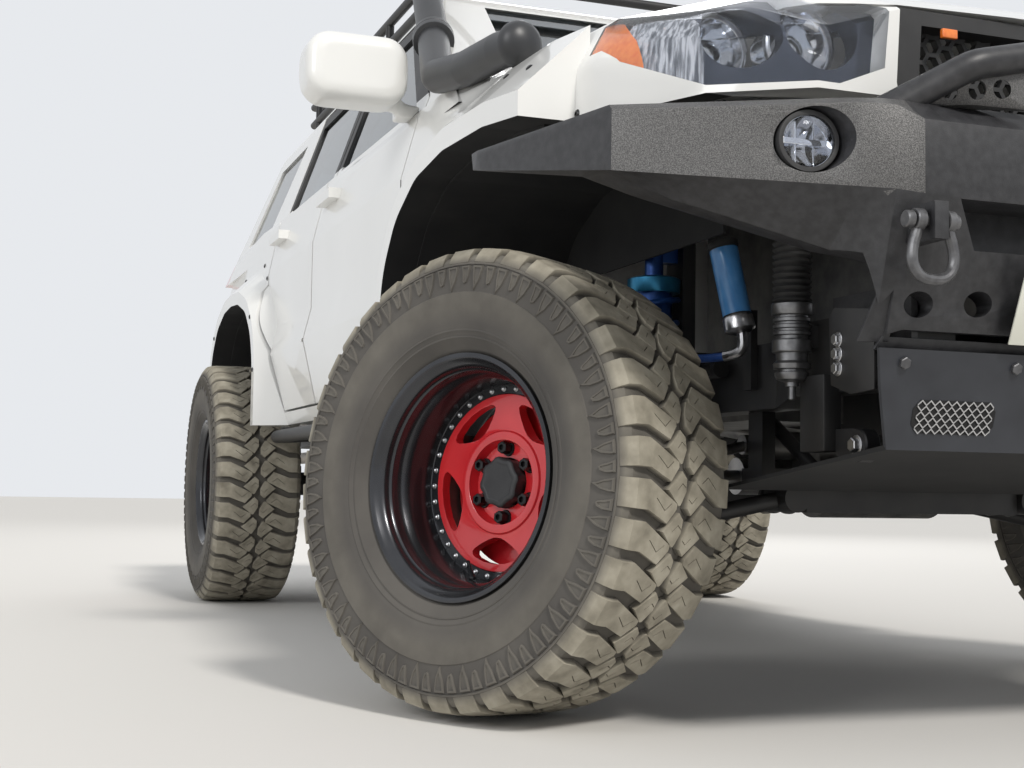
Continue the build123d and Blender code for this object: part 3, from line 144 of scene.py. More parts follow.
graded("cast_metal", [(0.1, 0.1, 0.1), (0.19, 0.185, 0.175)], 0.55, 18, [(70, 0.3, 0.001)], metallic=0.7)
graded("oiled_steel", [(0.22, 0.22, 0.22), (0.36, 0.35, 0.34)], 0.35, 20, metallic=1.0)
graded("trim_black", [(0.016, 0.016, 0.017), (0.03, 0.03, 0.031)], 0.55, 12, [(500, 0.2, 0.0004)])
graded("snorkel_black", [(0.016, 0.017, 0.019), (0.027, 0.028, 0.031)], 0.4, 10, [(700, 0.16, 0.0003)])
graded("damper_blue", [(0.01, 0.05, 0.2), (0.02, 0.08, 0.3)], 0.3, 20, metallic=0.5)
graded("exhaust_steel", [(0.24, 0.22, 0.2), (0.4, 0.37, 0.33)], 0.45, 13, metallic=0.9)
graded("shackle_grey", [(0.09, 0.09, 0.095), (0.17, 0.17, 0.175)], 0.36, 60, [(260, 0.3, 0.0006)], metallic=0.6)
graded("leather_grey", [(0.045, 0.045, 0.048), (0.075, 0.074, 0.076)], 0.6, 9, [(260, 0.25, 0.0006)])
graded("damper_silver", [(0.46, 0.46, 0.47), (0.62, 0.62, 0.63)], 0.28, 60, metallic=1.0)
graded("gunmetal", [(0.14, 0.14, 0.145), (0.24, 0.24, 0.245)], 0.35, 60, metallic=0.9)
graded("damper_label", [(0.05, 0.22, 0.52), (0.08, 0.28, 0.6)], 0.35, 30, coat=0.3)
graded("damper_teal", [(0.02, 0.16, 0.3), (0.04, 0.22, 0.38)], 0.3, 30, metallic=0.7)
graded("hose_blue", [(0.015, 0.06, 0.26), (0.03, 0.1, 0.36)], 0.45, 60, [(600, 0.4, 0.0005)])
graded("rubber_black", [(0.014, 0.014, 0.015), (0.03, 0.03, 0.03)], 0.62, 40, [(300, 0.15, 0.0004)])
graded("chrome", [(0.72, 0.73, 0.76), (0.8, 0.81, 0.83)], 0.08, 20, metallic=1.0)
graded("chrome_smoked", [(0.05, 0.06, 0.08), (0.09, 0.1, 0.13)], 0.22, 14, metallic=0.8)
graded("lamp_ribs", [(0.16, 0.17, 0.19), (0.45, 0.46, 0.48), (0.8, 0.8, 0.82)], 0.16, 22, [(90, 0.4, 0.002)],
       places=(0.35, 0.5, 0.62), detail=2.0, stretch=(6, 6, 0.8), metallic=1.0)
graded("lamp_amber", [(0.8, 0.16, 0.02), (0.92, 0.26, 0.04)], 0.2, 90, coat=0.8)
graded("lamp_red", [(0.42, 0.01, 0.012), (0.55, 0.02, 0.02)], 0.15, 60, coat=0.9)
graded("plate_cream", [(0.66, 0.66, 0.58), (0.72, 0.72, 0.64)], 0.4, 12, coat=0.2)
plain("glass_clear", (0.22, 0.26, 0.28), 0.02, ior=1.45)
plain("lens_clear", (0.92, 0.94, 0.95), 0.03, ior=1.3)
plain("cover_clear", (0.8, 0.82, 0.86), 0.03, coat=1.0, ior=1.02)

# Tyre rubber: clean side walls and dusty treads, mixed by an attribute that also carries painted shade, which
# darkens the grooves, and a painted highlight, which lightens the side marks
tree, shader = plain("tyre_rubber", (0.1, 0.09, 0.08), 0.85)
dust_and_light_share = tree.nodes.new("ShaderNodeAttribute")
dust_and_light_share.attribute_name = "dust"
side_wall_and_groove_shade = ramp(tree, grain(tree, 7, 5.0), (0.3, 0.7), [(0.066, 0.061, 0.056), (0.096, 0.089, 0.08)])
dusty_tread = ramp(tree, grain(tree, 24, 6.0), (0.25, 0.5, 0.75), [
    (0.175, 0.158, 0.122), (0.29, 0.265, 0.21), (0.4, 0.37, 0.3)])
mix = tree.nodes.new("ShaderNodeMix")
mix.data_type = "RGBA"
tree.links.new(dust_and_light_share.outputs["Fac"], mix.inputs["Factor"])
tree.links.new(side_wall_and_groove_shade, mix.inputs["A"])
tree.links.new(dusty_tread, mix.inputs["B"])
tree.links.new(mix.outputs["Result"], shader.inputs["Base Color"])
relief(tree, shader, grain(tree, 300), 0.22, 0.0007)
relief(tree, shader, grain(tree, 40, 4.0), 0.15, 0.002)

# Finish of each CAD node: the first row with a word that the node's name begins with
CAD_FINISHES = [
    ("glass_clear", ("fixed_glass", "tailgate_glass", "door_glass")),
    ("body_white", ("body_shell", "front_fenders", "hood", "tailgate", "door_", "mirror_")),
    ("frame_black", ("ladder_frame", "side_sliders", "roof_rack", "rear_axle", "rear_susp", "control_arms")),
    ("trim_black", ("grille", "fuel_tank", "dashboard", "steering_wheel")),
    ("cast_metal", ("powertrain", "steering_rack", "knuckle_")),
    ("oiled_steel", ("drive_shafts", "tie_rods")),
    ("bumper_coat", ("front_bumper", "rear_bumper")),
    ("liner_black", "wheel_liners"), ("lens_clear", "lamps"), ("skid_black", "skid_plate"),
    ("snorkel_black", "snorkel"), ("damper_blue", "coilovers"), ("exhaust_steel", "exhaust"),
    ("leather_grey", "seats"), ("shackle_grey", "shackles"), ("tyre_rubber", "tyre_"), ("rim_black", "rim_"),
    ("wheel_red", "wheel_centre"),
]
for name, node in nodes.items():
    finish = next(finish for finish, beginnings in CAD_FINISHES if name.startswith(beginnings))
    node.data.materials.clear()
    node.data.materials.append(FINISH[finish])


# Working steps that the pieces share
def only(thing):
    """The one selected and active object."""
    bpy.ops.object.select_all(action="DESELECT")
    thing.select_set(True)
    bpy.context.view_layer.objects.active = thing


@contextlib.contextmanager
def editing(thing=None):
    """Edit mode on a piece, or on the active one, with the whole mesh selected."""
    if thing:
        only(thing)
    bpy.ops.object.mode_set(mode="EDIT")
    bpy.ops.mesh.select_all(action="SELECT")
    yield
    bpy.ops.object.mode_set(mode="OBJECT")


def pick(test, kind="FACE"):
    """In edit mode, select the faces or corners whose place and normal pass a test."""
    bpy.ops.mesh.select_mode(type=kind)
    bpy.ops.mesh.select_all(action="DESELECT")
    mesh = bpy.context.object.data
    shape = bmesh.from_edit_mesh(mesh)
    for item in shape.faces if kind == "FACE" else shape.verts:
        place = item.calc_center_median() if kind == "FACE" else item.co
        item.select = test(place, item.normal)
    shape.select_flush_mode()
    bmesh.update_edit_mesh(mesh)


def pick_top():
    """In edit mode, select the faces that look up."""
    pick(lambda place, normal: normal.z > 0.9)


def inset(*steps):
    """In edit mode, inset what is selected in steps of (thickness, rise)."""
    for thickness, rise in steps:
        bpy.ops.mesh.inset(thickness=thickness, depth=rise)


def split(x):
    """In edit mode, edges where a plane across X meets the mesh."""
    bpy.ops.mesh.select_all(action="SELECT")
    bpy.ops.mesh.bisect(plane_co=(x, 0, 0), plane_no=(1, 0, 0))


def fill():
    """In edit mode, faces in the holes of the mesh."""
    bpy.ops.mesh.select_all(action="SELECT")
    bpy.ops.mesh.fill_holes(sides=0)


def tidy_faces():
    """In edit mode, merge doubles and turn every face outward."""
    bpy.ops.mesh.select_mode(type="VERT")
    bpy.ops.mesh.select_all(action="SELECT")
    bpy.ops.mesh.remove_doubles(threshold=0.00002)
    bpy.ops.mesh.normals_make_consistent()


def outline(name, corners, fill="NGON"):
    """A flat piece from a circle whose corners are put where the real outline has them."""
    bpy.ops.object.select_all(action="DESELECT")
    bpy.ops.mesh.primitive_circle_add(vertices=len(corners), radius=1, fill_type=fill)
    thing = bpy.context.object
    thing.name = name
    thing.data.name = name
    for point, corner in zip(thing.data.vertices, corners):
        point.co = corner
    return thing


def stepped(name, corners, steps):
    """An outline that faces up, drawn in and raised in steps, still open below."""
    thing = outline(name, corners)
    with editing():
        shape = bmesh.from_edit_mesh(thing.data)
        shape.faces.ensure_lookup_table()
        if shape.faces[0].normal.z < 0:
            bpy.ops.mesh.flip_normals()
        inset(*steps)
    return thing


def slab(name, corners, lift):
    """An outline given thickness by an extrusion along a vector."""
    thing = outline(name, corners)
    with editing():
        bpy.ops.mesh.extrude_region_move(TRANSFORM_OT_translate={"value": lift})
        tidy_faces()
    return thing


def turned(name, section, steps):
    """A closed section of (radius, level) spun about Z."""
    thing = outline(name, [(radius, 0, level) for radius, level in section], "NOTHING")
    with editing():
        bpy.ops.mesh.spin(steps=steps, angle=2 * math.pi, center=(0, 0, 0), axis=(0, 0, 1))
        tidy_faces()
    return thing


def modified(thing, kind, **settings):
    """A modifier with its settings, applied to a piece."""
    only(thing)
    step = thing.modifiers.new(kind, kind)
    for name, value in settings.items():
        setattr(step, name, value)
    bpy.ops.object.modifier_apply(modifier=step.name)
    return thing


def cut(thing, tool, operation="DIFFERENCE"):
    """Boolean with a tool that is used up."""
    modified(thing, "BOOLEAN", operation=operation, object=tool, solver="EXACT")
    bpy.data.objects.remove(tool)
    return thing


def softened(thing, width, steps=2, angle=32):
    """Edges of a piece rounded by a bevel."""
    return modified(thing, "BEVEL", width=width, segments=steps, limit_method="ANGLE",
        angle_limit=math.radians(angle))


def gather(things, name):
    """Several pieces joined as one."""
    only(things[0])
    for thing in things[1:]:
        thing.select_set(True)
    bpy.ops.object.join()
    things[0].name = name
    things[0].data.name = name
    return things[0]


def twin(thing, name, place=None):
    """A copy with its own mesh, moved by a matrix."""
    double = thing.copy()
    double.data = thing.data.copy()
    double.name = name
    double.data.name = name
    bpy.context.scene.collection.objects.link(double)
    if place is not None:
        double.data.transform(place)
        if place.determinant() < 0:
            double.data.flip_normals()
    return double


def strewn(thing, places, name):
    """Copies of a piece at some places, joined as one; the piece itself is used up."""
    copies = [twin(thing, f"{name}_copy", place) for place in places]
    bpy.data.objects.remove(thing)
    return gather(copies, name)


def finished(thing, finish, *nodes_replaced, body="root", slot=None, smooth=30):
    """The piece gets its finish, shading, body and the nodes that it stands for; the slot argument is not used.
    """
    only(thing)
    thing.data.materials.clear()
    thing.data.materials.append(FINISH[finish])
    if smooth:
        bpy.ops.object.shade_smooth_by_angle(angle=math.radians(smooth))
    bpy.ops.object.select_all(action="DESELECT")
    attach(thing, body)
    for node in nodes_replaced:
        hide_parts(node)
    return thing


def zoned(thing, finishes, zone):
    """Further finishes of a piece, and the number of the finish that each face has."""
    for finish in finishes:
        thing.data.materials.append(FINISH[finish])
    for face in thing.data.polygons:
        face.material_index = zone(face)


def metres(*rows):
    """Rows of millimetres, as metres."""
    return [tuple(value / 1000 for value in row) for row in rows]


# Tyre: the flat plan of the tread has the distance from the outer shoulder across the wheel and the run
# along it, for one of the pitches
TREAD_PITCHES = 38
PITCH_RUN = 0.0731
TREAD_SPAN = 0.27
BLOCK_HEIGHT = 0.0142
BLOCK_ROOT = 0.0012  # how far a block reaches into the casing
# Outer contour of half a tyre: distance from the shoulder (negative down the side wall), radius, level
CONTOUR = metres(
    (-31, 405, 153.2), (-17.5, 418, 149.5), (-3.5, 432.5, 139.5), (0, 436, 134), (17, 439.5, 118),
    (35, 441, 100), (75, 442, 60), (135, 442, 0))
FLANK_LENGTH = 0.031
FLANK_THINNING = 0.7  # share of its height that a block has lost at the foot of the side wall
SHOULDER_BLOCK = metres(
    (-30, -3), (0, -2), (30, -2), (110, 35), (110, 47), (86, 74.5), (29, 54), (0, 54), (-30, 55))
CENTRE_BLOCK = metres((76, 14), (118, -24), (133.5, -11), (133.5, 14), (119, 40), (112, 42))
SHOULDER_SIPE = metres((48, 30), (74, 50), (92, 37))
CENTRE_SIPE = metres((106, 12), (119, 0), (130, 7))
SIPE_WIDTH = 0.0017
SIPE_DEPTH = 0.005
SIPE_REACH = 0.012
HALF_TURN_SHIFT = 0.033  # run by which the other half of the tread is shifted
FLANK_STEPS = metres((0.3, 4.4), (1, 0.3), (0.5, 9.5), (0.7, 1.2))
SHOULDER_CUTS = (-0.0235, -0.0225, -0.0125, -0.0115, 0.0, 0.017, 0.05)
SHOULDER_STEPS = metres((-22.5, 7.5), (-11.5, 4.5))  # steps down the shoulder: from where, and twice the drop
TOP_DEPTH = 0.0014  # a point above this depth belongs to the top of a block


def pitch_angle(run):
    """Angle round the tyre of a run along the plan."""
    return -run / PITCH_RUN * 2 * math.pi / TREAD_PITCHES


def round_the_tyre(pitch, name):
    """One pitch copied all round the tyre."""
    return strewn(pitch, [Matrix.Rotation(number * 2 * math.pi / TREAD_PITCHES, 4, "Z")
        for number in range(TREAD_PITCHES)], name)


def on_contour(value, column):
    """Where a column of the contour has a value: radius, level and the way that the contour takes there."""
    for first, last in zip(CONTOUR, CONTOUR[1:]):
        if min(first[column], last[column]) <= value <= max(first[column], last[column]):
            break
    share = (value - first[column]) / (last[column] - first[column])
    radius, level = (first[number] + (last[number] - first[number]) * share for number in (1, 2))
    return radius, level, Vector((last[1] - first[1], last[2] - first[2])).normalized()


def on_tyre(across, run, sunk):
    """Place on the tyre of a point of the flat plan, sunk below the outer contour."""
    side = -1.0 if across > TREAD_SPAN / 2 else 1.0
    across = min(across, TREAD_SPAN - across)
    radius, level, along = on_contour(across, 0)
    thin = 1.0 if across > 0 else 1.0 + across / FLANK_LENGTH * FLANK_THINNING
    radius -= abs(along.y) * sunk * thin
    level -= abs(along.x) * sunk * thin
    turn = pitch_angle(run)
    return Vector((radius * math.cos(turn), radius * math.sin(turn), side * level))


def sipe_tool(route):
    """A thin wall that follows the route of a sipe."""
    left, right = [], []
    for number, (across, run) in enumerate(route):
        before = Vector(route[max(number - 1, 0)])
        after = Vector(route[min(number + 1, len(route) - 1)])
        here = Vector((across, run))
        first = (here - before).normalized() if number else (after - here).normalized()
        second = (after - here).normalized() if number < len(route) - 1 else first
        way = (first + second).normalized()
        normal = Vector((-way.y, way.x)) * SIPE_WIDTH / 2 / max(0.5, way.dot(first))
        left.append((*(here + normal), -SIPE_DEPTH))
        right.append((*(here - normal), -SIPE_DEPTH))
    return slab("sipe_tool", left + right[::-1], (0, 0, SIPE_REACH))


def tread_block(corners, sipe, cuts):
    """One block on the tyre, with drafted flanks, steps down the shoulder if it has cuts, and a sipe."""
    foot = -BLOCK_HEIGHT - BLOCK_ROOT
    block = stepped("block", [(across, run, foot) for across, run in corners], FLANK_STEPS)
    with editing():
        for across in cuts:
            split(across)
        fill()
        for edge, sunk in SHOULDER_STEPS if cuts else ():
            pick(lambda place, normal: (
                place.z > -TOP_DEPTH and min(place.x, TREAD_SPAN - place.x) < edge), "VERT")
            bpy.ops.transform.translate(value=(0, 0, -sunk / 2))
        tidy_faces()
    cut(block, sipe_tool(sipe))
    for point in block.data.vertices:
        point.co = on_tyre(point.co.x, point.co.y, -point.co.z)
    with editing(block):
        tidy_faces()
    return block


def opposite(points):
    """The same outline on the other half of the tread, turned half round."""
    return [(TREAD_SPAN - across, HALF_TURN_SHIFT - run) for across, run in points]


def tread():
    """All the tread blocks."""
    pitch = []
    for corners, sipe, cuts in (
        (SHOULDER_BLOCK, SHOULDER_SIPE, SHOULDER_CUTS), (CENTRE_BLOCK, CENTRE_SIPE, ()),
    ):
        pitch.append(tread_block(corners, sipe, cuts))
        pitch.append(tread_block(opposite(corners), opposite(sipe), [TREAD_SPAN - across for across in cuts]))
    return round_the_tyre(gather(pitch, "tread_pitch"), "tread")


# Section of the casing: radius and level of the outer side, from the bead to the middle
CASING = metres(
    (219.2, 108), (236.5, 119.5), (244, 133), (262, 145), (263, 146.5), (266, 146.5), (267, 145.5),
    (274.5, 149), (275.5, 150.4), (277.5, 150.6), (279, 150), (290, 153), (320, 156.8), (348, 156),
    (350, 154.5), (380, 153), (401, 150.2), (402, 152.2), (406, 151.5), (407, 149), (415, 145), (424, 136),
    (426, 118), (427.2, 90), (427.8, 45), (427.8, 0))
HOLLOW = metres((219.2, -92), (245, -115), (330, -138), (395, -130), (415, -90))


def mirrored(section):
    """The points of a section on the other side of the wheel, in the opposite order."""
    return [(radius, -level) for radius, level in reversed(section)]


# Marks that stand on the side wall, as (run, radius) within a pitch
SIDE_BRACKET = metres((0, 401), (30, 401), (31, 390), (27, 370), (12, 346), (10, 360), (4, 376))
SIDE_LEAF = metres((39, 401), (66, 401), (67, 380), (62, 366), (52, 362), (47, 368), (44, 384))
MARK_STEPS = metres((2.6, 6.2), (3, 0), (0.8, -1.6))
MARK_LEVEL, MARK_RADIUS, WALL_SLOPE = 0.1518, 0.352, 0.055  # level at a radius, and its fall outward from there


def side_marks(side):
    """Raised marks on one side wall."""
    pair = []
    for corners in (SIDE_BRACKET, SIDE_LEAF):
        mark = stepped("side_mark", [(run, radius, 0) for run, radius in corners], MARK_STEPS)
        with editing():
            fill()
        for point in mark.data.vertices:
            turn = pitch_angle(point.co.x)
            radius = point.co.y
            level = MARK_LEVEL - (radius - MARK_RADIUS) * WALL_SLOPE + point.co.z
            point.co = (radius * math.cos(turn), radius * math.sin(turn), level * side)
        with editing(mark):
            tidy_faces()
        pair.append(mark)
    return round_the_tyre(gather(pair, "side_pair"), "side_marks")


TREAD_EDGE = 0.402  # radius where the dust of the tread begins
DUST_RISE = 0.014
SHADE_START_DEPTH, SHADE_FADE_DEPTH = 0.002, 0.011  # painted shade in the grooves: sunk less than the first keeps full dust, and it fades to dark rubber over the second
# Least share of dust colour at the bottom of the grooves, the deepest painted shade
LEAST_GROOVE_LIGHT = 0.12
MARK_TOP = 0.1545
# Side marks are lightened, a painted highlight that stands for the light on their edges
MARK_PAINTED_HIGHLIGHT = 0.14


def whole_tyre():
    """Casing, tread and side marks in one piece, with how dusty each place is, painted shade darkening the
    grooves and a painted highlight lightening the side marks.
    """
    section = CASING + mirrored(CASING[:-1]) + HOLLOW + mirrored(HOLLOW)
    casing = turned("casing", section, 4 * TREAD_PITCHES)
    tyre = gather([casing, tread(), side_marks(1), side_marks(-1)], "tyre")
    dust = tyre.data.attributes.new("dust", "FLOAT", "POINT")
    for number, point in enumerate(tyre.data.vertices):
        radius = math.hypot(point.co.x, point.co.y)
        sunk = on_contour(min(abs(point.co.z), CONTOUR[0][2]), 2)[0] - radius
        top = min(1.0, max(0.0, (radius - TREAD_EDGE) / DUST_RISE))
        # Dust on the tread tops, fading into painted shade as a point sinks into a groove
        dust.data[number].value = top * min(1.0, max(LEAST_GROOVE_LIGHT, 1.0 - (sunk - SHADE_START_DEPTH) / SHADE_FADE_DEPTH))
        # Painted highlight on the side marks
        if radius < TREAD_EDGE and abs(point.co.z) > MARK_TOP:
            dust.data[number].value = MARK_PAINTED_HIGHLIGHT
    return tyre


# Wheel: sections of (radius, level) about the axle, the outer side at positive levels
RIM_SHELL = metres(
    (235.8, 131.8), (235.8, 122.5), (220, 118.5), (217.8, 116.5), (217.8, 98.5), (214.8, 92.5), (214.8, 72),
    (206, 54), (206, -14), (213.8, -24), (213.8, -92), (217.8, -98.5), (217.8, -117.5), (235.5, -122.5),
    (235.5, -131.5), (227, -131.5), (209, -112), (205, -100), (205, -32), (196.2, -14), (174.2, -14),
    (174.2, -2), (175, -0.6), (193, -0.6), (194.5, 1), (196.6, 10), (196.6, 56), (198.5, 64), (204.2, 72.5),
    (207.5, 79), (207.8, 85), (206.8, 93), (207.2, 98), (210, 101), (211.6, 105), (211, 110), (212.2, 115),
    (216.5, 120), (221.5, 124), (224, 129), (227, 131.8), (232, 132.4))
DISC_SECTION = metres(
    (50, -74), (164, -74), (164, -54), (100, -54), (98.5, -34), (140, -22), (173.6, -13.8), (173.6, 1.2),
    (172.6, 2.2), (160, 2.6), (156, 2), (130, 0.5), (108, 0), (102, 1.2), (99, 4.8), (97.2, 5.2), (85, 5.2),
    (83.2, 4.4), (78.5, -14), (77, -15.8), (50, -16))
# Half of a window's outline, from its outer edge to its foot: radius, and angle from its middle
WINDOW_HALF = [(0.1592, 0.0), (0.159, 10.0), (0.158, 19.5), (0.1555, 22.5), (0.15, 24.0), (0.142, 23.0),
    (0.128, 18.5), (0.115, 11.5), (0.1085, 5.0), (0.1075, 0.0)]
WINDOWS, WINDOW_TURN = 5, 88.5
NUTS, NUT_TURN, NUT_CIRCLE = 6, 31.0, 0.068
STUDS, STUD_TURN, STUD_CIRCLE = 36, 3, 0.1846
CAP_LOBES, CAP_TURN, CAP_FLOOR = 8, 4, -0.016
VALVE_ANGLE, VALVE_LEAN = 78, -55


def polar(radius, angle, level=0.0):
    """Place at a radius and an angle in degrees."""
    return (radius * math.cos(math.radians(angle)), radius * math.sin(math.radians(angle)), level)


def wheel_disc():
    """Red centre of the wheel with its five windows."""
    disc = turned("disc", DISC_SECTION, 90)
    other_half = [(radius, -turn) for radius, turn in WINDOW_HALF]
    around = other_half[4:0:-1] + WINDOW_HALF + other_half[8:4:-1]
    for number in range(WINDOWS):
        middle = WINDOW_TURN + number * 360 / WINDOWS
        corners = [polar(radius, middle + turn, -0.048) for radius, turn in around]
        cut(disc, slab("window", corners, (0, 0, 0.08)))
    softened(disc, 0.0016, 2, 40)
    with editing():
        fill()
        tidy_faces()
    return disc


def hexagon(radius, depth, middle, *steps):
    """Hexagonal head whose top is inset in steps."""
    bpy.ops.object.select_all(action="DESELECT")
    bpy.ops.mesh.primitive_cylinder_add(vertices=6, radius=radius, depth=depth, location=middle)
    head = bpy.context.object
    bpy.ops.object.transform_apply()
    with editing():
        pick_top()
        inset(*steps)
    return head


def wheel_nuts():
    """The nuts, each with its washer and the end of its bolt."""
    nuts = []
    for number in range(NUTS):
        middle = Vector(polar(NUT_CIRCLE, NUT_TURN + number * 360 / NUTS))
        nuts.append(hexagon(0.0122, 0.021, middle + Vector((0, 0, -0.005)),
            (0.0018, 0.0012), (0.003, 0.0), (0.0002, -0.006)))
        washer = turned("washer", metres((9.5, -0.8), (15, -0.8), (15.8, 0.2), (14.6, 2), (9.5, 2.4)), 20)
        washer.data.transform(Matrix.Translation(middle + Vector((0, 0, -0.0152))))
        nuts.append(washer)
    return gather(nuts, "wheel_nuts")


def hub_cap():
    """Round cap with a scalloped rim, its middle left bare."""
    rim = [polar(0.05 if step % 4 < 2 else 0.0462, step * 360 / (CAP_LOBES * 4) + CAP_TURN, CAP_FLOOR)
        for step in range(CAP_LOBES * 4)]
    cap = slab("hub_cap", rim, (0, 0, 0.0245))
    with editing(cap):
        pick_top()
        inset((0.0035, 0.003), (0.0065, 0.001), (0.0012, -0.0008), (0.004, 0.0))
    return softened(cap, 0.001, 2, 25)


def ring_studs():
    """Domed bolts round the black ring."""
    dome = turned("stud", metres(
        (0.1, -1.2), (5.8, -1.2), (5.8, 1), (4.6, 1.8), (4.2, 4), (2.2, 5.6), (0.1, 6)), 10)
    return strewn(dome, [Matrix.Translation(polar(STUD_CIRCLE, number * 360 / STUDS + STUD_TURN))
        for number in range(STUDS)], "ring_studs")


def valve():
    """Valve stem low in the barrel."""
    stem = turned("valve", metres(
        (0.1, 0), (7.5, 0), (7.5, 6), (5, 10), (4.2, 30), (3.8, 30), (3.8, 40), (3.4, 41), (0.1, 41)), 14)
    stem.data.transform(Matrix.Translation(polar(0.1935, VALVE_ANGLE, 0.022))
        @ Matrix.Rotation(math.radians(VALVE_ANGLE), 4, "Z")
        @ Matrix.Rotation(math.radians(VALVE_LEAN), 4, "Y"))
    return stem


# Hub and axle direction of each wheel, as the frame has them
WHEELS = {
    "front_right": ((-0.925351, -1.565982, 0.44695), (-0.880786, -0.468322, 0.069756)),
    "front_left": ((0.92576, -1.3878, 0.442), (0.882948, 0.469472, 0)),
    "rear_right": ((-0.9575, 1.338, 0.442), (-1, 0, 0)),
    "rear_left": ((0.9575, 1.338, 0.442), (1, 0, 0)),
}


def wheel_place(name):
    """Frame of a wheel: its hub, with Z outward along the axle."""
    hub, axle = WHEELS[name]
    outward = Vector(axle).normalized()
    along = Vector((outward.y, -outward.x, 0)).normalized()
    turn = Matrix((along, outward.cross(along), outward)).transposed().to_4x4()
    return Matrix.Translation(hub) @ turn


# The four wheels: each part, the node that it stands for, its finish and slot
wheel_parts = [
    (whole_tyre(), "tyre", "tyre_rubber", None),
    (turned("rim", RIM_SHELL, 96), "rim", "rim_black", None),
    (wheel_disc(), "wheel_centre", "wheel_red", None),
    (wheel_nuts(), None, "nut_black", "rim_black"),
    (hub_cap(), None, "cap_black", None),
    (ring_studs(), None, "stud_steel", None),
    (valve(), None, "rim_black", None),
]
for name in WHEELS:
    for part, node, finish, slot in wheel_parts:
        piece = twin(part, f"{part.name}_{name}", wheel_place(name))
        finished(piece, finish, *([f"{node}_{name}"] if node else []), body=f"wheel_{name}", slot=slot)
for part, *rest in wheel_parts:
    bpy.data.objects.remove(part)

# Front and suspension pieces are placed in millimetres: x, station behind the front axle, z
FRONT_AXLE = -1.452


def spot(x, station, z):
    """Place in the frame of a point in millimetres, measured from the front axle."""
    return Vector((x / 1000, station / 1000 + FRONT_AXLE, z / 1000))


def reworked(node, name):
    """A copy of a CAD node whose loose triangles are merged, to be worked on."""
    copy = linked(name, nodes[node].data.copy())
    copy.data.name = name
    with editing(copy):
        bpy.ops.mesh.select_mode(type="VERT")
        bpy.ops.mesh.select_all(action="SELECT")
        bpy.ops.mesh.remove_doubles(threshold=0.00001)
    if copy.data.has_custom_normals:
        bpy.ops.mesh.customdata_custom_splitnormals_clear()
    return copy


def loose_solids(node, name):
    """The separate solids of a CAD node, as pieces of their own."""
    reworked(node, name)
    with editing():
        bpy.ops.mesh.separate(type="LOOSE")
    return list(bpy.context.selected_objects)


def middle_of(thing):
    """Middle of the box that a piece fills."""
    axes = zip(*(point.co for point in thing.data.vertices))
    return Vector([(min(values) + max(values)) / 2 for values in axes])


def aimed(thing, start, end):
    """A piece built along Z is laid from start towards end."""
    way = (end - start).normalized()
    thing.data.transform(Matrix.Translation(start) @ way.to_track_quat("Z", "Y").to_matrix().to_4x4())
    return thing


def bar(name, start, end, profile, steps=28):
    """A turned piece between two points in millimetres; the profile is (share of the length, radius in mm)."""
    start, end = spot(*start), spot(*end)
    length = (end - start).length
    section = [(radius / 1000, share * length) for share, radius in profile]
    ends = [(0.00001, share * length) for share in (profile[0][0], profile[-1][0])]
    return aimed(turned(name, [ends[0]] + section + [ends[1]], steps), start, end)


def drilled(thing, start, end, radius, steps=40):
    """A piece with a round hole between two points in millimetres."""
    return cut(thing, bar("drill", start, end, [(0, radius), (1, radius)], steps))


def behind(place, *distances):
    """Points at some distances behind a place, all in millimetres."""
    x, station, z = place
    return [(x, station + distance, z) for distance in distances]


def plate(name, corners, lift, edge=None, steps=2):
    """A slab with its corners, lift and eased edges in millimetres."""
    thing = slab(name, [spot(*corner) for corner in corners], [value / 1000 for value in lift])
    return softened(thing, edge / 1000, steps) if edge else thing


def upright(name, xs, stations, zs, deep, edge, steps=2):
    """An upright plate between two values each of x, station and z, and its depth along the car."""
    corners = [(xs[0], stations[0], zs[0]), (xs[1], stations[1], zs[0]), (xs[1], stations[1], zs[1]),
        (xs[0], stations[0], zs[1])]
    return plate(name, corners, (0, deep, 0), edge, steps)


def pipe(name, route, radius):
    """A hose or bent tube along a smooth route in millimetres; its radius is in metres."""
    data = bpy.data.curves.new(name, "CURVE")
    data.dimensions = "3D"
    data.bevel_depth = radius
    data.bevel_resolution = 4
    data.use_fill_caps = True
    spline = data.splines.new("NURBS")
    spline.points.add(len(route) - 1)
    for point, place in zip(spline.points, route):
        point.co = (*spot(*place), 1)
    spline.order_u = 3
    spline.use_endpoint_u = True
    spline.resolution_u = 6
    only(linked(name, data))
    bpy.ops.object.convert(target="MESH")
    with editing():
        tidy_faces()
    return bpy.context.object


def bolt(place, way, radius, height=0.007):
    """Hexagonal bolt head on its washer."""
    head = hexagon(radius, height, (0, 0, height / 2 + 0.0015), (radius * 0.15, radius * 0.1))
    washer = turned("washer", [(0.00001, -0.003), (radius * 1.35, -0.003), (radius * 1.35, 0.0012),
        (radius * 1.25, 0.0018), (0.00001, 0.0018)], 18)
    return aimed(gather([head, washer], "bolt"), place, place + Vector(way))


def both_sides(thing, finish, *nodes_replaced, **more):
    """The piece on the right and its mirror image on the left, joined."""
    other = twin(thing, thing.name + "_left", Matrix.Scale(-1, 4, (1, 0, 0)))
    return finished(gather([thing, other], thing.name), finish, *nodes_replaced, **more)


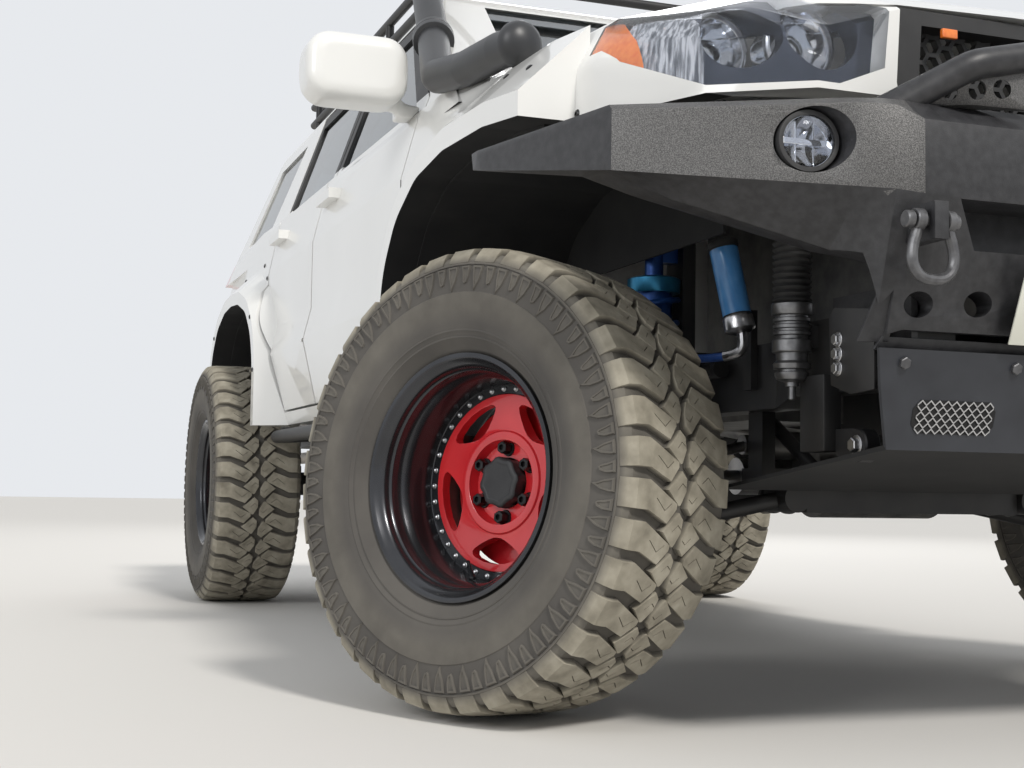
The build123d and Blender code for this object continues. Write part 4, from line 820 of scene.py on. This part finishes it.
# Bumper: the CAD form with the open underside of its wings and its welded side plates; the forward faces of the
# wings get the light coat as painted sunlight, the rest the darker satin as painted shade
WING_LOW = (spot(-957, -700, 942), spot(-573, -903, 791))
WING_START, WING_END, WING_FOOT = 0.548, 0.958, 0.89
WEDGE_INWARD = 0.004  # how far beyond the wing's inner end the wedge starts
WEDGE_PAST = 0.35  # share of the wing's length by which the wedge passes its tip
WEDGE_RISE = Vector((0, 0.55, 0.03))
WEDGE_DROP = Vector((0, 0, -0.45))
SUNLIT_FACING = 0.3  # faces with the light coat, painted sunlight, look forward by at least this much, and down by no more
bumper = reworked("front_bumper", "bumper_body")
for side in (1, -1):
    outer_low, inner_low = (Vector((side * point.x, point.y, point.z)) for point in WING_LOW)
    inner = inner_low + Vector((side * WEDGE_INWARD, 0, 0))
    outer = outer_low + (outer_low - inner_low) * WEDGE_PAST
    cut(bumper, slab("wedge", [outer, inner, inner + WEDGE_RISE, outer + WEDGE_RISE], WEDGE_DROP))
softened(bumper, 0.0025, 2, 30)
finished(bumper, "bumper_satin_shade", "front_bumper", smooth=25)
# Painted light: the light coat on the forward faces of the wings, and the darker satin, painted shade,
# everywhere else
zoned(bumper, ["bumper_coat"], lambda face: int(
    WING_START < abs(face.center.x) < WING_END and face.center.z > WING_FOOT
    and face.normal.y < -SUNLIT_FACING and face.normal.z > -SUNLIT_FACING))
# Side plates and foot in the darker satin, painted shade
both_sides(plate("bumper_side_plates", [
    (-576, -905, 791), (-602, -852, 672), (-560, -876, 672), (-560, -905, 780)],
    (0, 6, 0), 1.2), "bumper_satin_shade")
finished(plate("bumper_foot", [(-572, -874, 680), (-580, -866, 660), (580, -866, 660), (572, -874, 680)],
    (0, 8, 0), 1.2), "bumper_satin_shade")

# Fog lamps: a black ring, a chrome bowl with a bar across it and a clear cover
FOG_X, FOG_STATION, FOG_Z = -697, -866, 978
FOG_FRONT = (FOG_X, FOG_STATION, FOG_Z)
FOG_BACK = (FOG_X + 18, FOG_STATION + 90, FOG_Z)
fog_ring = drilled(bar("fog_ring", FOG_FRONT, FOG_BACK, [
    (0.0, 46), (0.0, 48.5), (0.06, 49.5), (0.9, 49), (1.0, 40)], 48),
    *behind(FOG_FRONT, -30, 45), 41, 48)
both_sides(softened(fog_ring, 0.0012), "trim_black", "lamps")
fog_bowl = turned("fog_bowl", metres(
    (0.1, 40), (15, 37), (30, 26), (40, 6), (40.8, 6), (40.8, 41), (0.1, 41.5)), 40)
aimed(fog_bowl, spot(*FOG_FRONT), spot(*FOG_BACK))


def fog_strip(name, x, half_width, half_height, back, deep, edge):
    """An upright plate in the fog lamp, at an x from its axis and some way behind its front."""
    station = FOG_STATION + back
    return upright(name, (FOG_X + x - half_width, FOG_X + x + half_width), (station, station),
        (FOG_Z - half_height, FOG_Z + half_height), deep, edge)


fog_insides = [fog_bowl, fog_strip("fog_bar", 0, 40, 5, 10, 28, 1.0)]
fog_insides += [fog_strip("fog_fin", x, 1.5, 34, 14, 26, 0.5) for x in (-16, 16)]
both_sides(gather(fog_insides, "fog_bowls"), "chrome")
fog_cover = turned("fog_cover", metres(
    (0.1, -6), (20, -5), (38, -1), (40.5, 2), (40.5, 4), (37, 2), (20, -2), (0.1, -3)), 40)
both_sides(aimed(fog_cover, spot(*FOG_FRONT), spot(*FOG_BACK)), "cover_clear")

# Headlamps and tail lamps: clear covers over their housings
HEADLAMP_AMBER = 0.835
HEADLAMP_RIBS = 0.775
HOUSING_BACK = 0.045
FOG_TOP = 1.06
HEADLAMP_BOWLS = [(722, -600, 1192, 58), (600, -672, 1192, 62)]  # x, station of the rim, z, radius
# Sections of a bowl and of the lens in it: share of the bowl's radius, and level in metres
BOWL_SECTION = [(0.42, 0.05), (0.52, 0.04), (0.78, 0.026), (0.94, 0.006), (0.98, 0.006), (0.98, 0.056)]
LENS_SECTION = [(0.3, 0.016), (0.46, 0.028), (0.5, 0.04)]


def turned_back(name, first, section, last, radius, place, steps):
    """A section between two levels on the axis, turned about the line that runs back from a place."""
    thing = turned(name, [(0.0001, first)] + [(radius * share / 1000, level) for share, level in section]
        + [(0.0001, last)], steps)
    thing.data.transform(Matrix.Translation(spot(*place)) @ Matrix.Rotation(-math.pi / 2, 4, "X"))
    return thing


def headlamp_zone(face):
    """Finish of a housing's face: amber outside, then ribbed, then smoked."""
    out = abs(face.center.x)
    return 1 if out > HEADLAMP_AMBER else 2 if out > HEADLAMP_RIBS else 0


def headlamp(cover, side, side_name):
    """Housing with its zones, and the rings, bowls and lenses in it, behind the CAD form as its cover."""
    bowls = [((side * x, station, z), radius, f"{side_name}_{x}") for x, station, z, radius in HEADLAMP_BOWLS]
    housing = twin(cover, f"headlamp_housing_{side_name}")
    with editing(housing):
        bpy.ops.transform.translate(value=(0, HOUSING_BACK, 0))
    cut(housing, twin(cover, "keep"), "INTERSECT")
    for rim, radius, name in bowls:
        drilled(housing, *behind(rim, -250, 60), radius)
    with editing(housing):
        for border in (HEADLAMP_AMBER, HEADLAMP_RIBS):
            split(side * border)
    finished(housing, "chrome_smoked")
    zoned(housing, ["lamp_amber", "lamp_ribs"], headlamp_zone)
    for rim, radius, name in bowls:
        ring = bar("ring", *behind(rim, -8, 6), [
            (0, radius + 1), (0.2, radius + 4), (0.8, radius + 5), (1, radius + 2)], 48)
        drilled(ring, *behind(rim, -30, 30), radius - 2, 48)
        finished(ring, "damper_silver", slot="lamp_lens").name = f"headlamp_ring_{name}"
    for rim, radius, name in bowls:
        bowl = turned_back("bowl", 0.052, BOWL_SECTION, 0.056, radius, rim, 40)
        finished(bowl, "chrome").name = f"headlamp_bowl_{name}"
        lens = turned_back("lens", 0.012, LENS_SECTION, 0.046, radius, rim, 32)
        finished(lens, "lens_clear").name = f"headlamp_lens_{name}"
    finished(cover, "cover_clear").name = f"headlamp_cover_{side_name}"


for solid in loose_solids("lamps", "lamp_cover"):
    middle = middle_of(solid)
    side, side_name = (-1, "right") if middle.x < 0 else (1, "left")
    if middle.y > 0:
        finished(solid, "lamp_red").name = f"tail_lamp_{side_name}"
    elif middle.z < FOG_TOP:
        bpy.data.objects.remove(solid)
    else:
        headlamp(solid, side, side_name)

# Dampers: each CAD form with its real finish, rings, cap and hoses
RESERVOIR_FRONT = -0.4  # the reservoirs stand behind this distance from the front axle, the bump cans before it
for solid in loose_solids("coilovers", "damper"):
    middle = middle_of(solid)
    if middle.x > 0:
        bpy.data.objects.remove(solid)
        continue
    setback = middle.y - FRONT_AXLE
    if setback > 0:
        both_sides(solid, "damper_blue", "coilovers").name = "coilover"
    elif setback > RESERVOIR_FRONT:
        both_sides(solid, "frame_black", slot="damper_blue").name = "reservoir"
    else:
        both_sides(solid, "rubber_black").name = "bump_can"
COIL_X, COIL_STATION, COIL_LOW, COIL_RADIUS = -520, 60, 450, 52
COIL_POINTS, COIL_TURN_POINTS, COIL_RISE = 96, 12, 4.2  # points in all and in a turn, and the rise of each
coil_turns = []
for step in range(COIL_POINTS):
    turn = step * 2 * math.pi / COIL_TURN_POINTS
    coil_turns.append((COIL_X + COIL_RADIUS * math.cos(turn), COIL_STATION + COIL_RADIUS * math.sin(turn),
        COIL_LOW + step * COIL_RISE))
both_sides(pipe("coil_springs", coil_turns, 0.0065), "damper_blue")
both_sides(bar("coil_caps", (COIL_X, COIL_STATION, 862), (COIL_X, COIL_STATION, 900), [
    (0, 56), (0.15, 58), (0.8, 58), (0.9, 50), (1.0, 30)], 32), "damper_teal")
RESERVOIR = ((-470, -235, 758), (-492, -200, 934))
for name, finish, steps, profile in (
    ("collars", "damper_silver", 32, [(-0.05, 12), (-0.02, 26), (0.0, 31), (0.13, 31), (0.15, 29)]),
    ("labels", "damper_label", 40, [(0.17, 27), (0.17, 28.8), (0.93, 28.8), (0.93, 27)]),
    ("caps", "rubber_black", 32, [(0.94, 29), (0.95, 31), (1.02, 31), (1.03, 26), (1.03, 8)]),
):
    both_sides(bar(f"reservoir_{name}", *RESERVOIR, profile, steps), finish)
both_sides(pipe("elbows", [(-468, -238, 756), (-466, -241, 735), (-468, -238, 716), (-480, -225, 708),
    (-492, -210, 706)], 0.011), "damper_silver")
both_sides(pipe("damper_hoses", [(-488, -214, 706), (-510, -185, 702), (-535, -130, 706), (-548, -60, 730),
    (-548, 0, 770), (-540, 40, 820)], 0.0085), "hose_blue")
BUMP_LOW, BUMP_MIDDLE, BUMP_TOP = ((-545, -560, z) for z in (598, 768, 880))
both_sides(bar("bump_rings", BUMP_LOW, BUMP_MIDDLE, [
    (0, 5), (0.01, 7), (0.14, 7), (0.14, 12), (0.18, 12), (0.19, 18), (0.21, 27), (0.25, 30), (0.28, 30),
    (0.29, 25), (0.31, 25), (0.32, 32), (0.37, 33), (0.39, 30), (0.4, 28), (0.48, 28), (0.49, 34), (0.5, 35),
    (0.61, 35), (0.62, 34), (0.63, 28), (0.66, 28), (0.67, 33), (0.7, 33), (0.71, 29), (0.73, 29), (0.74, 33),
    (0.77, 33), (0.78, 29), (0.8, 29), (0.81, 33), (0.84, 33), (0.85, 29), (0.87, 29), (0.88, 35),
    (0.9, 36.5), (0.99, 36.5), (1, 35)], 36), "gunmetal")
bellow_steps = [(share / 20, 35 if share % 2 else 30) for share in range(1, 20)]
both_sides(bar("bump_bellows", BUMP_MIDDLE, BUMP_TOP, [(0, 28)] + bellow_steps + [(1, 28)], 32), "rubber_black")

# Skid plate: its satin front, and its long rear part in near-black liner, a painted shade
SKID_TOP, SKID_FOOT, SKID_LEAN = 0.66, 0.505, 0.37
SKID_SIDE, SKID_HALF_LOW, SKID_FLARE, SKID_HALF_CAD = 0.5, 0.545, 0.045, 0.555
SKID_SHADE_START = spot(0, -843, 0).y
skid = reworked("skid_plate", "skid_body")
for point in skid.data.vertices:
    if point.co.z > SKID_TOP:
        point.co.y += (point.co.z - SKID_TOP) * SKID_LEAN
        point.co.z = SKID_TOP
    rise = min(1.0, max(0.0, (point.co.z - SKID_FOOT) / (SKID_TOP - SKID_FOOT)))
    if abs(point.co.x) > SKID_SIDE:
        point.co.x *= (SKID_HALF_LOW + SKID_FLARE * rise) / SKID_HALF_CAD
finished(skid, "skid_black", "skid_plate", smooth=20)
# Faces behind this station get the near-black liner, painted shade
zoned(skid, ["liner_black"], lambda face: int(face.center.y > SKID_SHADE_START))

# Front face of the skid plate: its station at a height, its slope, and how its normal looks forward and down
SKID_STATION, SKID_LOW, SKID_SLOPE, SKID_FORWARD, SKID_DOWN = -845, 505, 0.2842, 0.962, 0.273


def on_skid(x, z, lift=0.0):
    """Place on the front face of the skid plate, lifted off it in millimetres."""
    return spot(x, SKID_STATION - (z - SKID_LOW) * SKID_SLOPE - lift * SKID_FORWARD, z - lift * SKID_DOWN)


def off_skid(lift):
    """Vector out of the front face of the skid plate."""
    return on_skid(0, 0, lift) - on_skid(0, 0)


INSET_LEFT, INSET_RIGHT, INSET_LOW, INSET_HIGH = -508, -352, 532, 584
inset_back = slab("inset_back", [on_skid(x, z, 0.2) for x, z in (
    (INSET_LEFT + 12, INSET_LOW), (INSET_RIGHT - 12, INSET_LOW), (INSET_RIGHT, INSET_LOW + 14),
    (INSET_RIGHT, INSET_HIGH - 14), (INSET_RIGHT - 12, INSET_HIGH), (INSET_LEFT + 12, INSET_HIGH),
    (INSET_LEFT, INSET_HIGH - 14), (INSET_LEFT, INSET_LOW + 14))], off_skid(0.8))
both_sides(inset_back, "liner_black", smooth=0)
STRANDS = 6
STRAND_SWING, STRAND_HALF = 3.6, 1.3
strands = []
for row in range(STRANDS):
    base = INSET_LOW + 4 + row * (INSET_HIGH - INSET_LOW - 8) / (STRANDS - 1)
    wave = [(INSET_LEFT + 6 + step * 8, base - STRAND_SWING * (-1) ** (row + step + 1)) for step in range(19)]
    low, top = ([on_skid(x, z + half, 1.0) for x, z in wave] for half in (-STRAND_HALF, STRAND_HALF))
    strands.append(slab("strand", low + top[::-1], off_skid(1.8)))
both_sides(gather(strands, "inset_mesh"), "damper_silver", slot="shackle_grey", smooth=0)
skid_bolts = [bolt(on_skid(x, 640, 0), off_skid(1), 0.01) for x in (-540, -330, -120)]
both_sides(gather(skid_bolts, "skid_bolts"), "shackle_grey")

# Blank plates, front and rear
front_plate = plate("front_plate", [(-366, -912, 674), (6, -912, 674), (6, -962, 800), (-366, -962, 800)],
    (0, -3, -1), 0.8)
finished(front_plate, "plate_cream")
hit, place, normal, face = nodes["tailgate"].ray_cast(Vector((0, 4, 1.0)), Vector((0, -1, 0)))
rear_plate = slab("rear_plate", [place + Vector((x, 0.0005, z)) for x, z in (
    (-0.186, -0.067), (0.186, -0.067), (0.186, 0.067), (-0.186, 0.067))], (0, 0.003, 0))
finished(softened(rear_plate, 0.0008), "plate_cream", body="tailgate")

# Shackles: a thick bow, its ears, and the pin with its head and nut, about a point in millimetres
SHACKLE_X, SHACKLE_STATION, SHACKLE_Z = -552, -978, 845
BOW_HALF = [(26, 4), (27, -14), (36, -38), (38, -66), (24, -86)]
bow = pipe("shackles_bow", [(SHACKLE_X + x, SHACKLE_STATION, SHACKLE_Z + z) for x, z in (
    [(-x, z) for x, z in BOW_HALF] + [(0, -90)] + BOW_HALF[::-1])], 0.0088)


def shackle_bar(name, left, right, profile, steps):
    """A turned part of the shackle that lies across it."""
    ends = [(SHACKLE_X + x, SHACKLE_STATION, SHACKLE_Z) for x in (left, right)]
    return bar(name, *ends, profile, steps)


ears = [shackle_bar("ear", x - 8, x + 8, [(0, 15), (0.1, 17), (0.9, 17), (1, 15)], 24) for x in (-27, 27)]
pin = shackle_bar("pin", -50, 44, [(0, 11), (0.02, 13), (0.13, 13), (0.14, 9), (0.9, 9), (0.9, 12), (0.98, 12),
    (1, 10)], 20)
both_sides(gather([bow] + ears + [pin], "shackle_sets"), "shackle_grey", "shackles")

# Frame horns: bolted plates, boxes and recovery eyes behind the bumper
horn = plate("horn_plate", [(-556, -838, 728), (-556, -838, 600), (-556, -770, 596), (-556, -712, 614),
    (-556, -706, 728), (-556, -722, 742)], (-6, 0, 0), 1)
horn_box = plate("horn_box", [(-530, -640, 506), (-494, -640, 506), (-494, -560, 506), (-530, -560, 506)],
    (0, 0, 134), 4)
eye_plate = plate("eye_plate", [(-508, -640, 545), (-508, -700, 545), (-508, -735, 532), (-508, -735, 500),
    (-508, -700, 488), (-508, -640, 500)], (18, 0, 0), 2)
eye = bar("eye", (-514, -715, 516), (-484, -715, 516), [(0, 26), (0.1, 28), (0.9, 28), (1, 26)], 28)
both_sides(gather([horn, horn_box, eye_plate, eye], "frame_horns"), "frame_black")
horn_bolts = [bolt(spot(-562, -735, z), (-1, 0, 0), 0.0095) for z in (688, 664, 640)]
horn_bolts.append(bolt(spot(-514, -715, 516), (-1, 0, 0), 0.0125, 0.009))
horn_bolts.append(bolt(spot(-281, -112, 425), (0, -1, 0), 0.013, 0.01))
both_sides(gather(horn_bolts, "horn_bolts"), "damper_silver")
arm_bush = bar("arm_bushes", (-281, -110, 425), (-281, -30, 425), [
    (0, 24), (0.04, 34), (0.16, 34), (0.18, 29), (0.82, 29), (0.84, 34), (0.96, 34), (1, 24)], 32)
brace = bar("brace", (-333, -60, 617), (-304, -300, 452), [(0, 12), (0.02, 14), (0.98, 14), (1, 12)], 18)
both_sides(gather([arm_bush, brace], "arm_bushes"), "frame_black")
boot_steps = [(share / 14, 27 - share * 0.6 if share % 2 else 20) for share in range(1, 14)]
both_sides(bar("rack_boots", (-285, -45, 524), (-382, -52, 529), [(0, 27)] + boot_steps + [(1, 12)], 28),
    "rubber_black")

# Bolts of the flares, set where a line across the body meets the panel
FLARE_BOLTS = [  # station, z
    (-79, 1261), (-277, 1224), (-407, 1109), (2562, 1245), (2438, 1181), (2364, 1029), (2278, 835),
    (3016, 1245), (3140, 1181), (3214, 1029),
]
BESIDE = 1400  # x of a point well outside the body
BODY_SIDE = 0.8
flare_bolts = []
for side in (-1, 1):
    for station, z in FLARE_BOLTS:
        start = spot(side * BESIDE, station, z)
        hits = [nodes[name].ray_cast(start, Vector((-side, 0, 0))) for name in ("front_fenders", "body_shell")]
        hits = [found for found in hits if found[0] and abs(found[1].x) > BODY_SIDE]
        if hits:
            hit, place, way, face = max(hits, key=lambda found: abs(found[1].x))
            way = way if way.x * side > 0 else -way
            dome = turned("flare_bolt", metres(
                (0.1, -2), (8.5, -2), (8.5, 0.6), (6, 3), (3, 3.6), (2.8, 1.6), (0.1, 1.6)), 16)
            flare_bolts.append(aimed(dome, place, place + way))
finished(gather(flare_bolts, "flare_bolts"), "nut_black")

# Snorkel: rounded lower end and the clamp where the tubes join
snorkel_end = bar("snorkel_end", (-858, 20, 1362), (-850, -22, 1358), [
    (0, 50), (0.25, 50), (0.55, 45), (0.8, 33), (0.95, 16), (1.0, 2)], 32)
snorkel_clamp = bar("snorkel_clamp", (-852, 660, 1553), (-842, 702, 1581), [
    (0, 50), (0.02, 52), (0.2, 53), (0.45, 53), (0.5, 51), (0.55, 53), (0.8, 53), (0.98, 52), (1, 50)], 32)
finished(gather([snorkel_end, snorkel_clamp], "snorkel_fittings"), "snorkel_black")

# Hoop gussets with their holes, and the amber markers of the grille
gusset = plate("gusset", [(-556, -862, 1040), (-444, -929, 1108), (-330, -930, 1132), (-330, -930, 1048),
    (-444, -929, 1046), (-540, -872, 1046)], (3, 5, 0))
for x, station, z, radius in ((-470, -914, 1070, 12), (-430, -930, 1074, 14), (-385, -930, 1078, 15)):
    drilled(gusset, (x - 20, station - 40, z), (x + 20, station + 40, z), radius, 24)
both_sides(softened(gusset, 0.0006, 1), "bumper_coat", smooth=0)
marker = upright("grille_markers", (-402, -372), (-792, -792), (1196, 1212), -9, 2, 3)
both_sides(marker, "lamp_amber")

# Upright ribs of the outer reflectors inside the headlamps
ribs = [upright("rib", (x - 5, x + 5), (station, station + 4), (1188, 1250), 12, 2, 3)
    for x, station in zip(range(-776, -836, -10), range(-545, -497, 8))]
both_sides(gather(ribs, "headlamp_ribs"), "chrome")

# Painted panels: copies of the CAD panels with merged faces, so that their paint shades smoothly, with the
# insides of the arches dark and the window frames of the doors black
PANELS = ("front_fenders", "body_shell", "hood", "tailgate", "door_front_right", "door_rear_right",
    "door_front_left", "door_rear_left")
FIXED_PANELS = PANELS[:2]
ARCH_CENTRES = [Vector((0, y, 0.44)) for y in (FRONT_AXLE, 1.338)]
ARCH_REACH = 0.95
ARCH_INNER = 0.6
ARCH_FACING = 0.4  # how squarely a dark face looks at the middle of its arch
FRAME_LEVEL = 1.425


def panel_zone(face, is_door):
    """Finish of a panel's face: paint, dark liner in the arches, black trim round the door windows."""
    if is_door and face.center.z > FRAME_LEVEL:
        return 2
    for arch in ARCH_CENTRES if abs(face.center.x) > ARCH_INNER else ():
        inward = arch - face.center
        inward.x = 0
        if inward.length < ARCH_REACH and face.normal.dot(inward.normalized()) > ARCH_FACING:
            return 1
    return 0


for name in PANELS:
    panel = reworked(name, f"{name}_panel")
    is_door = name.startswith("door_")
    if is_door:
        with editing():
            bpy.ops.mesh.bisect(plane_co=(0, 0, FRAME_LEVEL), plane_no=(0, 0, 1))
    finished(panel, "body_white", name, body="root" if name in FIXED_PANELS else name, smooth=34)
    zoned(panel, ["liner_black", "trim_black"], lambda face: panel_zone(face, is_door))

# Mirrors: the CAD housing rounded further
for side in ("right", "left"):
    mirror = reworked(f"mirror_{side}", f"mirror_housing_{side}")
    modified(mirror, "REMESH", mode="VOXEL", voxel_size=0.006)
    modified(mirror, "SMOOTH", factor=0.5, iterations=16)
    finished(mirror, "body_white", f"mirror_{side}", body=f"door_front_{side}", smooth=60)

# Floor
bpy.ops.mesh.primitive_plane_add(size=80, location=(0, 0, 0))
floor = bpy.context.object
floor.name = "studio_floor"
plain("studio_floor", (0.7, 0.685, 0.66), 0.8)
floor.data.materials.append(FINISH["studio_floor"])
bpy.ops.object.select_all(action="DESELECT")

# Sky: soft light on the car, and brighter where it is seen, mirrored or looked at through glass
world = bpy.data.worlds.new("studio")
bpy.context.scene.world = world
world.use_nodes = True
tree = world.node_tree
sky = tree.nodes["Background"]
sky.inputs["Color"].default_value = (0.86, 0.88, 0.9, 1)
sky.inputs["Strength"].default_value = 0.55
seen_sky = tree.nodes.new("ShaderNodeBackground")
seen_sky.inputs["Color"].default_value = (0.8, 0.82, 0.85, 1)
seen_sky.inputs["Strength"].default_value = 1.0
rays = tree.nodes.new("ShaderNodeLightPath").outputs
either = tree.nodes.new("ShaderNodeMath")
any_ray = tree.nodes.new("ShaderNodeMath")
either.operation = any_ray.operation = "MAXIMUM"
sky_mix = tree.nodes.new("ShaderNodeMixShader")
for output, socket in (
    (rays["Is Camera Ray"], either.inputs[0]), (rays["Is Glossy Ray"], either.inputs[1]),
    (either.outputs[0], any_ray.inputs[0]), (rays["Is Transmission Ray"], any_ray.inputs[1]),
    (any_ray.outputs[0], sky_mix.inputs["Fac"]), (sky.outputs["Background"], sky_mix.inputs[1]),
    (seen_sky.outputs["Background"], sky_mix.inputs[2]),
    (sky_mix.outputs["Shader"], tree.nodes["World Output"].inputs["Surface"]),
):
    tree.links.new(output, socket)


def aimed_light(name, kind, energy, way):
    """A lamp that shines along a vector."""
    data = bpy.data.lights.new(name, kind)
    data.energy = energy
    thing = linked(name, data)
    thing.rotation_mode = "QUATERNION"
    thing.rotation_quaternion = Vector(way).to_track_quat("-Z", "Y")
    return thing


sun = aimed_light("key_sun", "SUN", 2.2, (-0.12, 0.74, -0.7))
sun.data.angle = 0.16
sun.data.color = (1, 0.965, 0.91)
LAMP_AIM = Vector((0, 0, 0.8))
LAMP_SIZE = 4.0
for name, place, energy in (("side_lamp", (-8.0, -5.0, 5.0), 260), ("rear_lamp", (4.0, 8.0, 6.0), 200)):
    lamp = aimed_light(name, "AREA", energy, LAMP_AIM - Vector(place))
    lamp.data.shape = "SQUARE"
    lamp.data.size = LAMP_SIZE
    lamp.location = place

bpy.context.scene.view_settings.view_transform = "Standard"
